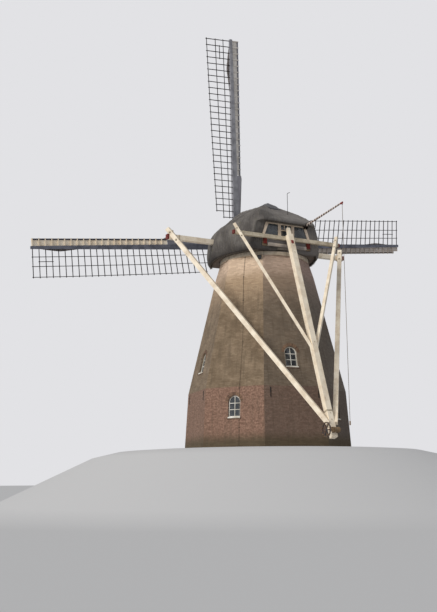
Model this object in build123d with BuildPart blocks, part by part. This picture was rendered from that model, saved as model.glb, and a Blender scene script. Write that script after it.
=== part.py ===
from build123d import *
import os
from math import atan2, cos, degrees, radians, sin, sqrt, tan

os.makedirs("parts", exist_ok=True)

# A tower windmill: an eight-sided tapering brick tower, a turning thatched cap with its tail and
# braces, four lattice sails on an inclined shaft, and a brake lever with its rope.
# Sizes are in millimetres. The origin is on the tower's axis at ground level, Z is up,
# the sails face -Y and the tail reaches out to +Y.

# Tower walls
face_count = 8
tower_turn = -8.8
foot_corner_radius = 4560
kink_height = 3180
kink_corner_radius = 4350
tower_top = 10450
top_corner_radius = 2580
top_round_radius = 2510
corner_fade = 800
foot_wall = 600
kink_wall = 520
top_wall = 440

# Floors
ground_slab = 150
upper_floor_top = 3130
upper_floor_depth = 180
top_floor_top = 10320
top_floor_depth = 120

# Tower windows and door
window_width = 690
window_height = 1170
lower_sill_height = 1580
upper_sill_height = 4160
window_recess = 90
window_frame_depth = 60
window_frame_width = 55
window_sill_height = 60
window_sill_reach = 35
glass_thickness = 6
door_face = 5
door_width = 1000
door_height = 2050
door_recess = 120
door_frame_width = 90
door_frame_depth = 100
door_thickness = 50

# Iron wall anchors
anchor_offset = 1320
anchor_bottom = 2600
anchor_length = 500
anchor_width = 45
anchor_thickness = 20

# Curb: the fixed ring, the sliding blocks and the cap's ring
curb_radius = 2500
curb_width = 400
tower_ring_height = 200
block_count = 16
block_height = 100
block_length = 320
block_width = 200
cap_ring_height = 120
running_gap = 0.3

# Cap frame
sheer_offset = 1370
sheer_width = 300
sheer_height = 400
sheer_front = -2400
sheer_rear = 2560
sheer_end_width = 220
sheer_end_height = 290
breast_beam_y = -1900
breast_beam_width = 360
tail_beam_y = 1400
tail_beam_width = 300

# Thatched hull of the cap
hull_front = -2550
hull_half_width = 3050
hull_widest_y = -250
hull_plan_radius = 3780
hull_widest_z = 11250
hull_bottom_z = 10640
hull_lip = 170
lip_fall = 0.4
knee_share = 0.667
knee_z = 12850
brow_share = 0.42
ridge_fall = 0.75
ridge_peak_y = 560
ridge_peak_z = 13960
ridge_rise = 0.142
hip_slope = 35.1
thatch = 320
thatch_clearance = 40
station_count = 5
eave_y = 2850
eave_z = 12220
gable_y = 2500
gable_thickness = 300
apron_radius = 2580
apron_height = 190
ridge_cover_thickness = 45
ridge_cover_front = 150
ridge_cover_rear = 1350
ridge_cover_half_width = 320

# Rear gable windows
gable_window_bottom = 11375
gable_window_top = 12220
gable_bottom_half = 1540
gable_top_half = 1280
gable_rail = 110
gable_head = 60
gable_post = 170
gable_middle_half = 330
gable_mullion = 180
gable_frame_depth = 80
front_board_thickness = 60

# Spruits, tail pole and braces
long_spruit_y = -578
long_spruit_z = 11628
long_spruit_half = 5800
long_spruit_size = 270
short_spruit_half = 3350
short_spruit_size = 200
tail_size = 300
tail_neck = 180
tail_neck_rise = 400
tail_foot_z = 450
tail_slope = 0.330
tail_top_y = 2860
long_brace_size = 240
short_brace_size = 160
long_brace_inset = 350
short_brace_inset = 330
brace_rise = 480
long_brace_foot_x = 350
long_brace_foot_z = 1450
long_brace_end_z = 1150
short_brace_foot_z = 4950
brace_notch = 60

# Tail winch
winch_z = 820
winch_drum_radius = 110
winch_drum_length = 420
winch_stand_off = 330
winch_cheek = 60
winch_wheel_radius = 360
winch_wheel_x = 520
winch_rim = 50
winch_spokes = 6

# Rod on the hip
rod_x = -450
rod_y = 1950
rod_radius = 14
rod_height = 1250
rod_bend = 170

# Rotor
hub_y = -3611
hub_z = 12484
shaft_tilt = 10.67
sail_turn = 6.65
sail_radius = 12500
shaft_radius = 270
head_size = 640
head_half_length = 480
stock_offset = 220
stock_root_width = 360
stock_root_depth = 320
stock_tip_width = 160
stock_tip_depth = 150

# Sail lattice
bar_count = 30
first_bar_setback = 100
bar_pitch = 368
bar_width = 42
bar_thickness = 30
lath_width = 38
lath_thickness = 24
inner_lath = 520
middle_lath = 1050
outer_lath = 1640
lath_overhang = 60
tip_pitch = 2
root_pitch = 22
leading_edge = 500
leading_board_thickness = 30
leading_board_inner = 4500
leading_board_setback = 50
root_board_inner = 1250
root_board_outer = 4300
root_board_inner_width = 340
root_board_outer_width = 600

# Furled sailcloth: distance along the arm, offset to the leading side, radius of the roll
cloth_rolls = (
    (1500, 400, 65),
    (2800, 500, 75),
    (4200, 590, 80),
    (5100, 130, 90),
    (5600, 60, 95),
    (7700, 60, 100),
    (8900, 110, 105),
    (9500, 20, 100),
    (10150, -60, 100),
    (10800, -120, 110),
    (11500, -60, 90),
    (12100, 0, 60),
)

# Brake lever and its rope
lever_x = -1200
lever_pivot_y = 2660
lever_pivot_z = 12272
lever_tip_y = 6200
lever_tip_z = 12570
lever_heel = 110
lever_root_radius = 60
lever_tip_radius = 42
lever_pin_radius = 15
lever_pin_gap = 0.1
bracket_thickness = 20
bracket_gap = 8
bracket_drop = 190
bracket_rise = 60
notch_margin = 25
rope_hook_drop = 90
rope_hook_width = 14
rope_eye_radius = 26
rope_eye_width = 20
rope_pin_radius = 8
rope_radius = 12
rope_bottom = 1300
rope_handle_radius = 35
rope_handle_length = 200

half_face = 180 / face_count


def finish(builder, name):
    """Label the finished piece and write its file."""
    builder.part.label = name
    export_step(builder.part, "parts/" + name + ".step")


def between(low, high, share):
    """Value at the given share of the way from low to high."""
    return low + (high - low) * share


def corner_radius(z):
    """Corner radius of the tower at height z, straight below and above the kink."""
    if z < kink_height:
        return between(foot_corner_radius, kink_corner_radius, z / kink_height)
    return between(kink_corner_radius, top_corner_radius, (z - kink_height) / (tower_top - kink_height))


def face_distance(z):
    """Distance from the axis to the middle of a wall face at height z."""
    return corner_radius(z) * cos(radians(half_face))


def wall_depth(z):
    """Thickness of the brickwork at height z."""
    if z < kink_height:
        return between(foot_wall, kink_wall, z / kink_height)
    return between(kink_wall, top_wall, (z - kink_height) / (tower_top - kink_height))


def face_plane(face, z):
    """Plane on a wall's outside at height z: x along the wall, y up the wall, z outwards."""
    angle = radians(tower_turn + 2 * half_face * face)
    low, high = (0, kink_height) if z < kink_height else (kink_height, tower_top)
    lean = atan2(face_distance(low) - face_distance(high), high - low)
    outwards = (cos(angle) * cos(lean), sin(angle) * cos(lean), sin(lean))
    distance = face_distance(z)
    return Plane(
        origin=(cos(angle) * distance, sin(angle) * distance, z),
        x_dir=(-sin(angle), cos(angle), 0),
        z_dir=outwards,
    )


def arch_face(plane, width, height, inset=0, sill=0):
    """Round-headed opening on a plane, drawn in from its edge by inset and up from its foot by sill."""
    half = width / 2 - inset
    spring = height - width / 2
    with BuildSketch(plane) as arch:
        with BuildLine():
            Polyline((-half, spring), (-half, sill), (half, sill), (half, spring))
            RadiusArc((half, spring), (-half, spring), -half)
        make_face()
    return arch.sketch


def bar_face(start, end, width, depth, side):
    """Rectangle across the start of a straight bar from start to end, its width along side."""
    along = Vector(*end) - Vector(*start)
    across = Vector(*side)
    across = across - along * (across.dot(along) / along.dot(along))
    with BuildSketch(Plane(origin=start, x_dir=across, z_dir=along)) as section:
        Rectangle(width, depth)
    return section.sketch


def bar_length(start, end):
    """Length of a straight bar."""
    return (Vector(*end) - Vector(*start)).length


# Tower

fade_height = tower_top - corner_fade
window_faces = {face: lower_sill_height if face % 2 else upper_sill_height for face in range(face_count)}
del window_faces[door_face]
octagon_turn = tower_turn + half_face

with BuildPart() as tower_cavity:
    for low, high in ((0, kink_height), (kink_height, tower_top)):
        for z in (low, high):
            with BuildSketch(Plane.XY.offset(z)):
                inner_distance = face_distance(z) - wall_depth(z)
                RegularPolygon(inner_distance / cos(radians(half_face)), face_count, rotation=octagon_turn)
        loft(ruled=True)

with BuildPart() as tower_walls:
    for low, high in ((0, kink_height), (kink_height, tower_top)):
        for z in (low, high):
            with BuildSketch(Plane.XY.offset(z)):
                RegularPolygon(corner_radius(z), face_count, rotation=octagon_turn)
        loft(ruled=True)
    # Below the curb a cone takes the corners off, so that the tower ends almost round.
    with BuildSketch(Plane.XZ):
        with BuildLine():
            Polyline(
                (0, 0),
                (foot_corner_radius + top_wall, 0),
                (foot_corner_radius + top_wall, kink_height),
                (corner_radius(fade_height), fade_height),
                (top_round_radius, tower_top),
                (0, tower_top),
                close=True,
            )
        make_face()
    revolve(axis=Axis.Z, mode=Mode.INTERSECT)
    add(tower_cavity.part, mode=Mode.SUBTRACT)
    for face, sill in window_faces.items():
        opening = arch_face(face_plane(face, sill), window_width, window_height)
        extrude(opening, amount=-2 * foot_wall, mode=Mode.SUBTRACT)
    with BuildSketch(face_plane(door_face, ground_slab)):
        Rectangle(door_width, door_height, align=(Align.CENTER, Align.MIN))
    extrude(amount=-2 * foot_wall, mode=Mode.SUBTRACT)

for face in range(face_count):
    wedge_reach = 2 * foot_corner_radius
    wedge_angles = [radians(tower_turn + half_face * (2 * face + side)) for side in (-1, 1)]
    with BuildPart() as wall:
        add(tower_walls.part)
        with BuildSketch():
            with BuildLine():
                Polyline(
                    (0, 0),
                    *[(cos(angle) * wedge_reach, sin(angle) * wedge_reach) for angle in wedge_angles],
                    close=True,
                )
            make_face()
        extrude(amount=tower_top, mode=Mode.INTERSECT)
    finish(wall, f"tower_wall_{face + 1}")

floors = (
    ("ground_floor", ground_slab, ground_slab),
    ("upper_floor", upper_floor_top, upper_floor_depth),
    ("top_floor", top_floor_top, top_floor_depth),
)
for name, top, depth in floors:
    with BuildPart() as floor:
        add(tower_cavity.part)
        with BuildSketch(Plane.XY.offset(top - depth)):
            Circle(foot_corner_radius)
        extrude(amount=depth, mode=Mode.INTERSECT)
    finish(floor, name)

# Windows stand in their openings, parallel to the leaning wall.
with BuildPart() as window_frames:
    for face, sill in window_faces.items():
        plane = face_plane(face, sill).offset(-window_recess - window_frame_depth)
        outline = arch_face(plane, window_width, window_height, running_gap, window_sill_height)
        extrude(outline, amount=window_frame_depth)
    for face, sill in window_faces.items():
        plane = face_plane(face, sill).offset(-window_recess - window_frame_depth)
        sight_sill = window_sill_height + window_frame_width
        sight = arch_face(plane, window_width, window_height, window_frame_width, sight_sill)
        extrude(sight, amount=window_frame_depth, mode=Mode.SUBTRACT)
finish(window_frames, "window_frames")

with BuildPart() as window_glass:
    for face, sill in window_faces.items():
        plane = face_plane(face, sill).offset(-window_recess - (window_frame_depth + glass_thickness) / 2)
        sight_sill = window_sill_height + window_frame_width
        pane = arch_face(plane, window_width, window_height, window_frame_width, sight_sill)
        extrude(pane, amount=glass_thickness)
finish(window_glass, "window_glass")

with BuildPart() as window_sills:
    for face, sill in window_faces.items():
        plane = face_plane(face, sill).offset(-window_recess - window_frame_depth)
        with BuildSketch(plane):
            sill_width = window_width - 2 * running_gap
            Rectangle(sill_width, window_sill_height, align=(Align.CENTER, Align.MIN))
        extrude(amount=window_recess + window_frame_depth + window_sill_reach)
finish(window_sills, "window_sills")

# A plain plank door in its frame, on the side away from the tail.
door_plane = face_plane(door_face, ground_slab).offset(-door_recess - door_frame_depth)
with BuildPart() as door_frame:
    with BuildSketch(door_plane):
        Rectangle(door_width, door_height, align=(Align.CENTER, Align.MIN))
        sight_width = door_width - 2 * door_frame_width
        sight_height = door_height - door_frame_width
        Rectangle(sight_width, sight_height, align=(Align.CENTER, Align.MIN), mode=Mode.SUBTRACT)
    extrude(amount=door_frame_depth)
finish(door_frame, "door_frame")

with BuildPart() as plank_door:
    with BuildSketch(door_plane):
        Rectangle(sight_width, sight_height, align=(Align.CENTER, Align.MIN))
    extrude(amount=door_thickness)
finish(plank_door, "plank_door")

with BuildPart() as wall_anchors:
    for face in range(0, face_count, 2):
        for side in (-1, 1):
            with BuildSketch(face_plane(face, anchor_bottom)):
                with Locations((side * anchor_offset, 0)):
                    Rectangle(anchor_width, anchor_length, align=(Align.CENTER, Align.MIN))
            extrude(amount=anchor_thickness)
finish(wall_anchors, "wall_anchors")

# Curb

tower_ring_top = tower_top + tower_ring_height
cap_ring_bottom = tower_ring_top + block_height
cap_ring_top = cap_ring_bottom + cap_ring_height

for name, bottom, height in (
    ("tower_ring", tower_top, tower_ring_height),
    ("cap_ring", cap_ring_bottom, cap_ring_height),
):
    with BuildPart() as ring:
        with BuildSketch(Plane.XY.offset(bottom)):
            Circle(curb_radius)
            Circle(curb_radius - curb_width, mode=Mode.SUBTRACT)
        extrude(amount=height)
    finish(ring, name)

with BuildPart() as sliding_blocks:
    with BuildSketch(Plane.XY.offset(tower_ring_top + running_gap)):
        with PolarLocations(curb_radius - curb_width / 2, block_count):
            Rectangle(block_width, block_length)
    extrude(amount=block_height - running_gap)
finish(sliding_blocks, "sliding_blocks")

# Rotor, drawn first because the cap's beams carry its shaft

tilt = radians(shaft_tilt)
rotor_plane = Plane(origin=(0, hub_y, hub_z), x_dir=(1, 0, 0), z_dir=(0, -cos(tilt), sin(tilt)))


def arm_plane(arm):
    """Plane of an arm: x out along the arm, y to its leading side, z to the front."""
    angle = radians(90 * arm - sail_turn)
    offset = -stock_offset if arm % 2 else stock_offset
    return Plane(
        origin=rotor_plane.origin + rotor_plane.z_dir * offset,
        x_dir=rotor_plane.x_dir * cos(angle) + rotor_plane.y_dir * sin(angle),
        z_dir=rotor_plane.z_dir,
    )


def stock_width(distance):
    """Width of a stock at a distance from the hub."""
    return between(stock_root_width, stock_tip_width, abs(distance) / sail_radius)


def stock_depth(distance):
    """Depth of a stock at a distance from the hub."""
    return between(stock_root_depth, stock_tip_depth, abs(distance) / sail_radius)


bar_radii = [sail_radius - first_bar_setback - bar_pitch * index for index in range(bar_count)]


def pitch(distance):
    """Angle of the lattice to the plane of rotation, in radians."""
    share = (distance - bar_radii[-1]) / (bar_radii[0] - bar_radii[-1])
    return radians(between(root_pitch, tip_pitch, share))


with BuildPart() as stock_pattern:
    for distance in (-sail_radius, 0, sail_radius):
        with BuildSketch(Plane.YZ.offset(distance)):
            Rectangle(stock_width(distance), stock_depth(distance))
    loft(ruled=True)

stocks = []
for arm, name in enumerate(("front_stock", "rear_stock")):
    with BuildPart() as stock:
        add(stock_pattern.part.moved(arm_plane(arm).location))
    finish(stock, name)
    stocks.append(stock.part)

tail_bearing_end = (tail_beam_y + tail_beam_width - hub_y) / cos(tilt)
with BuildPart() as windshaft:
    with BuildSketch(rotor_plane.offset(-head_half_length)):
        Rectangle(head_size, head_size)
    extrude(amount=2 * head_half_length)
    with BuildSketch(rotor_plane.offset(-head_half_length)):
        Circle(shaft_radius)
    extrude(amount=head_half_length - tail_bearing_end)
    for stock_part in stocks:
        add(stock_part, mode=Mode.SUBTRACT)
finish(windshaft, "windshaft")

lath_stations = 6


def lath_sections(offset, inner, outer):
    """Sections across a lath at a steady offset from the stock's axis, which follow the twist."""
    sections = []
    for step in range(lath_stations + 1):
        distance = between(inner, outer, step / lath_stations)
        angle = pitch(distance)
        with BuildSketch(Plane.YZ.offset(distance)) as section:
            with Locations((-offset * cos(angle), -offset * sin(angle))):
                Rectangle(lath_width, lath_thickness)
        sections.append(section.sketch)
    return sections


tip_end = bar_radii[0] + lath_overhang
laths = (
    (inner_lath, bar_radii[-1] - lath_overhang, tip_end),
    (middle_lath, bar_radii[-1] - lath_overhang, tip_end),
    (outer_lath, bar_radii[-2] - lath_overhang, tip_end),
    ((inner_lath + middle_lath) / 2, bar_radii[3] - lath_overhang, bar_radii[1] + lath_overhang),
)
with BuildPart() as lattice_pattern:
    for index, distance in enumerate(bar_radii):
        angle = pitch(distance)
        reach = (middle_lath if index == bar_count - 1 else outer_lath) + lath_overhang
        bar_plane = Plane(origin=(distance, 0, 0), x_dir=(0, -cos(angle), -sin(angle)), z_dir=(1, 0, 0))
        with BuildSketch(bar_plane):
            Rectangle(reach, bar_thickness, align=(Align.MIN, Align.CENTER))
        extrude(amount=bar_width / 2, both=True)
    for offset, inner, outer in laths:
        loft(lath_sections(offset, inner, outer), ruled=True)
    add(stock_pattern.part, mode=Mode.SUBTRACT)

for arm in range(4):
    with BuildPart() as lattice:
        add(lattice_pattern.part.moved(arm_plane(arm).location))
    finish(lattice, f"sail_lattice_{arm + 1}")

board_pieces = (
    (leading_board_inner, sail_radius - leading_board_setback, leading_edge, leading_edge),
    (root_board_inner, root_board_outer, root_board_inner_width, root_board_outer_width),
)
with BuildPart() as board_pattern:
    for inner, outer, inner_width, outer_width in board_pieces:
        for step in range(lath_stations + 1):
            distance = between(inner, outer, step / lath_stations)
            board_width = between(inner_width, outer_width, step / lath_stations)
            with BuildSketch(Plane.YZ.offset(distance)):
                with Locations(Location((0, 0, 0), (0, 0, degrees(pitch(distance))))):
                    Rectangle(board_width, leading_board_thickness, align=(Align.MIN, Align.CENTER))
        loft(ruled=True)
    add(stock_pattern.part, mode=Mode.SUBTRACT)

with BuildPart() as leading_boards:
    for arm in range(4):
        add(board_pattern.part.moved(arm_plane(arm).location))
finish(leading_boards, "leading_boards")


def roll_height(distance, offset, radius):
    """Height of a cloth roll's centre in front of the stock's axis, clear of the stock and the boards."""
    lean = pitch(distance)
    over_stock = stock_depth(distance) / 2 + radius
    over_boards = offset * tan(lean) + (leading_board_thickness / 2 + radius) / cos(lean)
    return max(over_stock, over_boards) + running_gap


with BuildPart() as cloth_pattern:
    for distance, offset, radius in cloth_rolls:
        with BuildSketch(Plane.YZ.offset(distance)):
            with Locations((offset, roll_height(distance, offset, radius))):
                Circle(radius)
    loft(ruled=True)

with BuildPart() as furled_cloths:
    for arm in range(4):
        add(cloth_pattern.part.moved(arm_plane(arm).location))
finish(furled_cloths, "furled_cloths")

# Cap frame

sheer_top = cap_ring_top + sheer_height
with BuildPart() as sheer_beams:
    with BuildSketch(Plane.XY.offset(cap_ring_top)):
        with Locations((-sheer_offset, sheer_front), (sheer_offset, sheer_front)):
            Rectangle(sheer_width, sheer_rear - sheer_front, align=(Align.CENTER, Align.MIN))
    extrude(amount=sheer_height)
    # Their rear ends are cut down to stubs, which stay flush on top.
    with BuildSketch(Plane.XZ.offset(-sheer_rear)):
        with Locations((0, cap_ring_top)):
            Rectangle(4 * sheer_offset, sheer_height, align=(Align.CENTER, Align.MIN))
        with Locations((-sheer_offset, sheer_top), (sheer_offset, sheer_top)):
            Rectangle(
                sheer_end_width, sheer_end_height,
                align=(Align.CENTER, Align.MAX), mode=Mode.SUBTRACT,
            )
    extrude(amount=sheer_rear - gable_y, mode=Mode.SUBTRACT)
finish(sheer_beams, "sheer_beams")

with BuildPart() as shaft_bearing_space:
    with BuildSketch(rotor_plane):
        Circle(shaft_radius + running_gap)
    extrude(amount=-tail_bearing_end)

with BuildPart() as shaft_beams:
    for y, width in ((breast_beam_y, breast_beam_width), (tail_beam_y, tail_beam_width)):
        axis_z = hub_z - (y - hub_y) * tan(tilt)
        with BuildSketch(Plane.XY.offset(sheer_top)):
            with Locations((0, y)):
                Rectangle(2 * sheer_offset + sheer_width, width)
        extrude(amount=axis_z - sheer_top)
    add(shaft_bearing_space.part, mode=Mode.SUBTRACT)
finish(shaft_beams, "shaft_beams")

with BuildPart() as long_spruit:
    with BuildSketch(Plane.YZ.offset(-long_spruit_half)):
        with Locations((long_spruit_y, long_spruit_z)):
            Rectangle(long_spruit_size, long_spruit_size)
    extrude(amount=2 * long_spruit_half)
    add(shaft_bearing_space.part, mode=Mode.SUBTRACT)
finish(long_spruit, "long_spruit")

with BuildPart() as spruit_seats:
    seat_height = long_spruit_z - long_spruit_size / 2 - sheer_top
    with BuildSketch(Plane.XY.offset(sheer_top)):
        with Locations((-sheer_offset, long_spruit_y), (sheer_offset, long_spruit_y)):
            Rectangle(sheer_width, long_spruit_size)
    extrude(amount=seat_height)
finish(spruit_seats, "spruit_seats")

short_spruit_y = gable_y + short_spruit_size / 2
short_spruit_z = sheer_top + short_spruit_size / 2
with BuildPart() as short_spruit:
    with BuildSketch(Plane.YZ.offset(-short_spruit_half)):
        with Locations((short_spruit_y, short_spruit_z)):
            Rectangle(short_spruit_size, short_spruit_size)
    extrude(amount=2 * short_spruit_half)
finish(short_spruit, "short_spruit")

# Thatched hull: cross sections of one family, narrower towards both ends


def hull_faces(outset):
    """Cross sections of the hull at even steps from front to eave, grown outwards by outset."""
    faces = []
    for step in range(station_count):
        y = between(hull_front, eave_y, step / (station_count - 1))
        half = hull_half_width - (y - hull_widest_y) ** 2 / (2 * hull_plan_radius) + outset
        ridge = ridge_peak_z + (ridge_peak_y - y) * ridge_rise + outset * sqrt(2)
        knee = knee_z + outset / 2
        knee_half = knee_share * (half - outset) + outset
        brow = (knee_half / 2, between(ridge, knee, brow_share))
        bottom = hull_bottom_z if outset >= 0 else tower_top
        with BuildSketch(Plane.XZ.offset(-y)) as section:
            with BuildLine():
                Spline(
                    (0, ridge), brow, (knee_half, knee), (half, hull_widest_z),
                    tangents=[(1, -ridge_fall), (0, -1)],
                )
                Spline(
                    (half, hull_widest_z), (half - hull_lip, bottom),
                    tangents=[(0, -1), (-1, -lip_fall)],
                )
                Line((half - hull_lip, bottom), (0, bottom))
                mirror(about=Plane.YZ)
            make_face()
        faces.append(section.sketch)
    return faces


def hip_cut_face(lift):
    """Large face on the rear hip's slope, raised by lift."""
    slope = radians(hip_slope)
    plane = Plane(origin=(0, ridge_peak_y, ridge_peak_z), x_dir=(1, 0, 0), z_dir=(0, sin(slope), cos(slope)))
    with BuildSketch(plane.offset(lift)) as face:
        Rectangle(4 * hull_half_width, 4 * hull_half_width)
    return face.sketch


with BuildPart() as hull_outside:
    loft(hull_faces(0))
    extrude(hip_cut_face(0), amount=2 * hull_half_width, mode=Mode.SUBTRACT)

with BuildPart() as hull_inside:
    loft(hull_faces(-thatch))
    extrude(hip_cut_face(-thatch), amount=2 * hull_half_width, mode=Mode.SUBTRACT)
    with BuildSketch(Plane.XZ.offset(-gable_y + gable_thickness)):
        Rectangle(4 * hull_half_width, 4 * ridge_peak_z)
    extrude(amount=-hull_half_width, mode=Mode.SUBTRACT)


def gable_outline(plane, inset=0):
    """Slanting-sided outline of the rear window frame."""
    lean = (gable_bottom_half - gable_top_half) / (gable_window_top - gable_window_bottom)
    foot = gable_bottom_half - inset
    head = gable_top_half - inset
    with BuildSketch(plane) as outline:
        with BuildLine():
            Polyline(
                (-foot, gable_window_bottom), (foot, gable_window_bottom),
                (head, gable_window_top), (-head, gable_window_top), close=True,
            )
        make_face()
    return outline.sketch


gable_plane = Plane.XZ.offset(-gable_y)
lever_slot_half = lever_root_radius + bracket_gap + bracket_thickness + notch_margin

with BuildPart() as cap_thatch:
    add(hull_outside.part)
    # Under the eave the hull ends at the gable.
    with BuildSketch(Plane.XY.offset(eave_z)):
        with Locations((0, gable_y)):
            Rectangle(4 * hull_half_width, hull_half_width, align=(Align.CENTER, Align.MIN))
    extrude(amount=-2 * hull_half_width, mode=Mode.SUBTRACT)
    # A low apron follows the ring below the rear windows.
    with BuildSketch(Plane.XY.offset(cap_ring_top)):
        Circle(apron_radius)
        Circle(curb_radius - curb_width, mode=Mode.SUBTRACT)
        with Locations((0, gable_y - gable_thickness - 2 * hull_half_width)):
            Rectangle(4 * hull_half_width, 4 * hull_half_width, mode=Mode.SUBTRACT)
    extrude(amount=apron_height)
    add(hull_inside.part, mode=Mode.SUBTRACT)
    extrude(gable_outline(gable_plane), amount=gable_thickness + thatch, mode=Mode.SUBTRACT)
    with BuildSketch(Plane.XZ.offset(-eave_y)):
        with Locations((0, cap_ring_top + apron_height)):
            gable_foot_height = gable_window_bottom - cap_ring_top - apron_height
            Rectangle(2 * gable_bottom_half, gable_foot_height, align=(Align.CENTER, Align.MIN))
    extrude(amount=eave_y - gable_y + gable_thickness + thatch, mode=Mode.SUBTRACT)
    # The thatch stays clear of the rings, which turn on each other.
    with BuildSketch(Plane.XY.offset(cap_ring_top)):
        Circle(curb_radius + thatch_clearance)
    extrude(amount=-2 * curb_radius, mode=Mode.SUBTRACT)
    for beam in (sheer_beams, long_spruit, short_spruit):
        add(beam.part, mode=Mode.SUBTRACT)
    # Notch in the eave for the brake lever.
    with BuildSketch(Plane.XY.offset(lever_pivot_z + bracket_rise + notch_margin)):
        with Locations((lever_x, gable_y)):
            Rectangle(2 * lever_slot_half, hull_half_width, align=(Align.CENTER, Align.MIN))
    extrude(amount=-hull_half_width / 4, mode=Mode.SUBTRACT)

# The thatch is kept as four quarters, parted over the tower's axis.
plus, minus = Align.MIN, Align.MAX
for index, sides in enumerate(((plus, plus), (minus, plus), (minus, minus), (plus, minus))):
    with BuildPart() as thatch_quarter:
        add(cap_thatch.part)
        with BuildSketch():
            Rectangle(2 * hull_half_width, 2 * hull_half_width, align=sides)
        extrude(amount=2 * ridge_peak_z, mode=Mode.INTERSECT)
    finish(thatch_quarter, f"cap_thatch_{index + 1}")

with BuildPart() as ridge_cover:
    loft(hull_faces(ridge_cover_thickness))
    extrude(hip_cut_face(ridge_cover_thickness), amount=2 * hull_half_width, mode=Mode.SUBTRACT)
    with BuildSketch(Plane.XY.offset(knee_z)):
        with Locations((0, (ridge_cover_front + ridge_cover_rear) / 2)):
            Rectangle(2 * ridge_cover_half_width, ridge_cover_rear - ridge_cover_front)
    extrude(amount=2 * hull_half_width, mode=Mode.INTERSECT)
    add(hull_outside.part, mode=Mode.SUBTRACT)
finish(ridge_cover, "ridge_cover")

# Rear gable: three windows between slanting posts, and a board below them
with BuildPart() as rear_window_frame:
    extrude(gable_outline(gable_plane), amount=gable_frame_depth)
    sight_bottom = gable_window_bottom + gable_rail
    sight_top = gable_window_top - gable_head
    sight_height = sight_top - sight_bottom
    with BuildSketch(gable_plane):
        with Locations((0, sight_bottom)):
            Rectangle(2 * gable_middle_half, sight_height, align=(Align.CENTER, Align.MIN))
        for side in (-1, 1):
            inner = gable_middle_half + gable_mullion
            with BuildLine():
                Polyline(
                    (side * inner, sight_bottom),
                    (side * (gable_bottom_half - gable_post), sight_bottom),
                    (side * (gable_top_half - gable_post), sight_top),
                    (side * inner, sight_top),
                    close=True,
                )
            make_face()
    extrude(amount=gable_frame_depth, mode=Mode.SUBTRACT)
finish(rear_window_frame, "rear_window_frame")

with BuildPart() as rear_window_glass:
    extrude(gable_outline(gable_plane), amount=gable_frame_depth)
    add(rear_window_frame.part, mode=Mode.SUBTRACT)
    with BuildSketch(gable_plane.offset((gable_frame_depth - glass_thickness) / 2)):
        with Locations((0, gable_window_bottom)):
            Rectangle(4 * gable_bottom_half, 2 * gable_bottom_half)
    extrude(amount=glass_thickness, mode=Mode.INTERSECT)
finish(rear_window_glass, "rear_window_glass")

with BuildPart() as rear_board:
    with BuildSketch(gable_plane):
        with Locations((0, cap_ring_top + apron_height)):
            Rectangle(2 * gable_bottom_half, gable_foot_height, align=(Align.CENTER, Align.MIN))
    extrude(amount=gable_frame_depth)
    add(sheer_beams.part, mode=Mode.SUBTRACT)
finish(rear_board, "rear_board")

with BuildPart() as front_boards:
    add(hull_inside.part)
    with BuildSketch(Plane.XZ.offset(-hull_front - front_board_thickness)):
        with Locations((0, cap_ring_top)):
            Rectangle(4 * hull_half_width, ridge_peak_z, align=(Align.CENTER, Align.MIN))
    extrude(amount=front_board_thickness, mode=Mode.INTERSECT)
    with BuildSketch(rotor_plane):
        Circle(shaft_radius + 2 * notch_margin)
    extrude(amount=-tail_bearing_end, mode=Mode.SUBTRACT)
finish(front_boards, "front_boards")

# Tail pole and braces


def tail_y(z):
    """Distance of the tail pole's centre line behind the tower's axis at height z."""
    return tail_top_y + (short_spruit_z - z) * tail_slope


tail_head_z = short_spruit_z + short_spruit_size / 2 + tail_size / 4
tail_head = (0, tail_y(tail_head_z), tail_head_z)
tail_foot = (0, tail_y(tail_foot_z), tail_foot_z)
tail_neck_z = tail_head_z + tail_neck_rise
tail_neck_top = (0, tail_y(tail_neck_z), tail_neck_z)

with BuildPart() as tail_pole:
    for end, size in ((tail_head, tail_size), (tail_neck_top, tail_neck)):
        section = bar_face(tail_foot, end, size, size, (1, 0, 0))
        extrude(section, amount=bar_length(tail_foot, end))
    add(short_spruit.part, mode=Mode.SUBTRACT)
finish(tail_pole, "tail_pole")


def brace_ends(side, spruit_half, inset, behind, spruit_z, foot, end_z):
    """Head above the spruit and foot at the tail pole of a straight brace."""
    at_spruit = Vector(side * (spruit_half - inset), behind, spruit_z)
    along = Vector(side * foot[0], foot[1], foot[2]) - at_spruit
    head = at_spruit + along * (brace_rise / along.Z)
    end = at_spruit + along * ((end_z - spruit_z) / along.Z)
    return tuple(head), tuple(end)


with BuildPart() as long_braces:
    for side in (-1, 1):
        behind = long_spruit_y + (long_spruit_size + long_brace_size) / 2 - brace_notch
        foot = (long_brace_foot_x, tail_y(long_brace_foot_z), long_brace_foot_z)
        head, end = brace_ends(
            side, long_spruit_half, long_brace_inset, behind, long_spruit_z, foot, long_brace_end_z
        )
        section = bar_face(head, end, long_brace_size, long_brace_size, (0, 0, 1))
        extrude(section, amount=bar_length(head, end))
    add(long_spruit.part, mode=Mode.SUBTRACT)
    add(tail_pole.part, mode=Mode.SUBTRACT)
finish(long_braces, "long_braces")

with BuildPart() as short_braces:
    for side in (-1, 1):
        behind = short_spruit_y + (short_spruit_size + short_brace_size) / 2 - brace_notch
        foot = (tail_size / 4, tail_y(short_brace_foot_z), short_brace_foot_z)
        head, end = brace_ends(
            side, short_spruit_half, short_brace_inset, behind, short_spruit_z, foot, short_brace_foot_z
        )
        section = bar_face(head, end, short_brace_size, short_brace_size, (0, 0, 1))
        extrude(section, amount=bar_length(head, end))
    add(short_spruit.part, mode=Mode.SUBTRACT)
    add(tail_pole.part, mode=Mode.SUBTRACT)
finish(short_braces, "short_braces")

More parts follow.
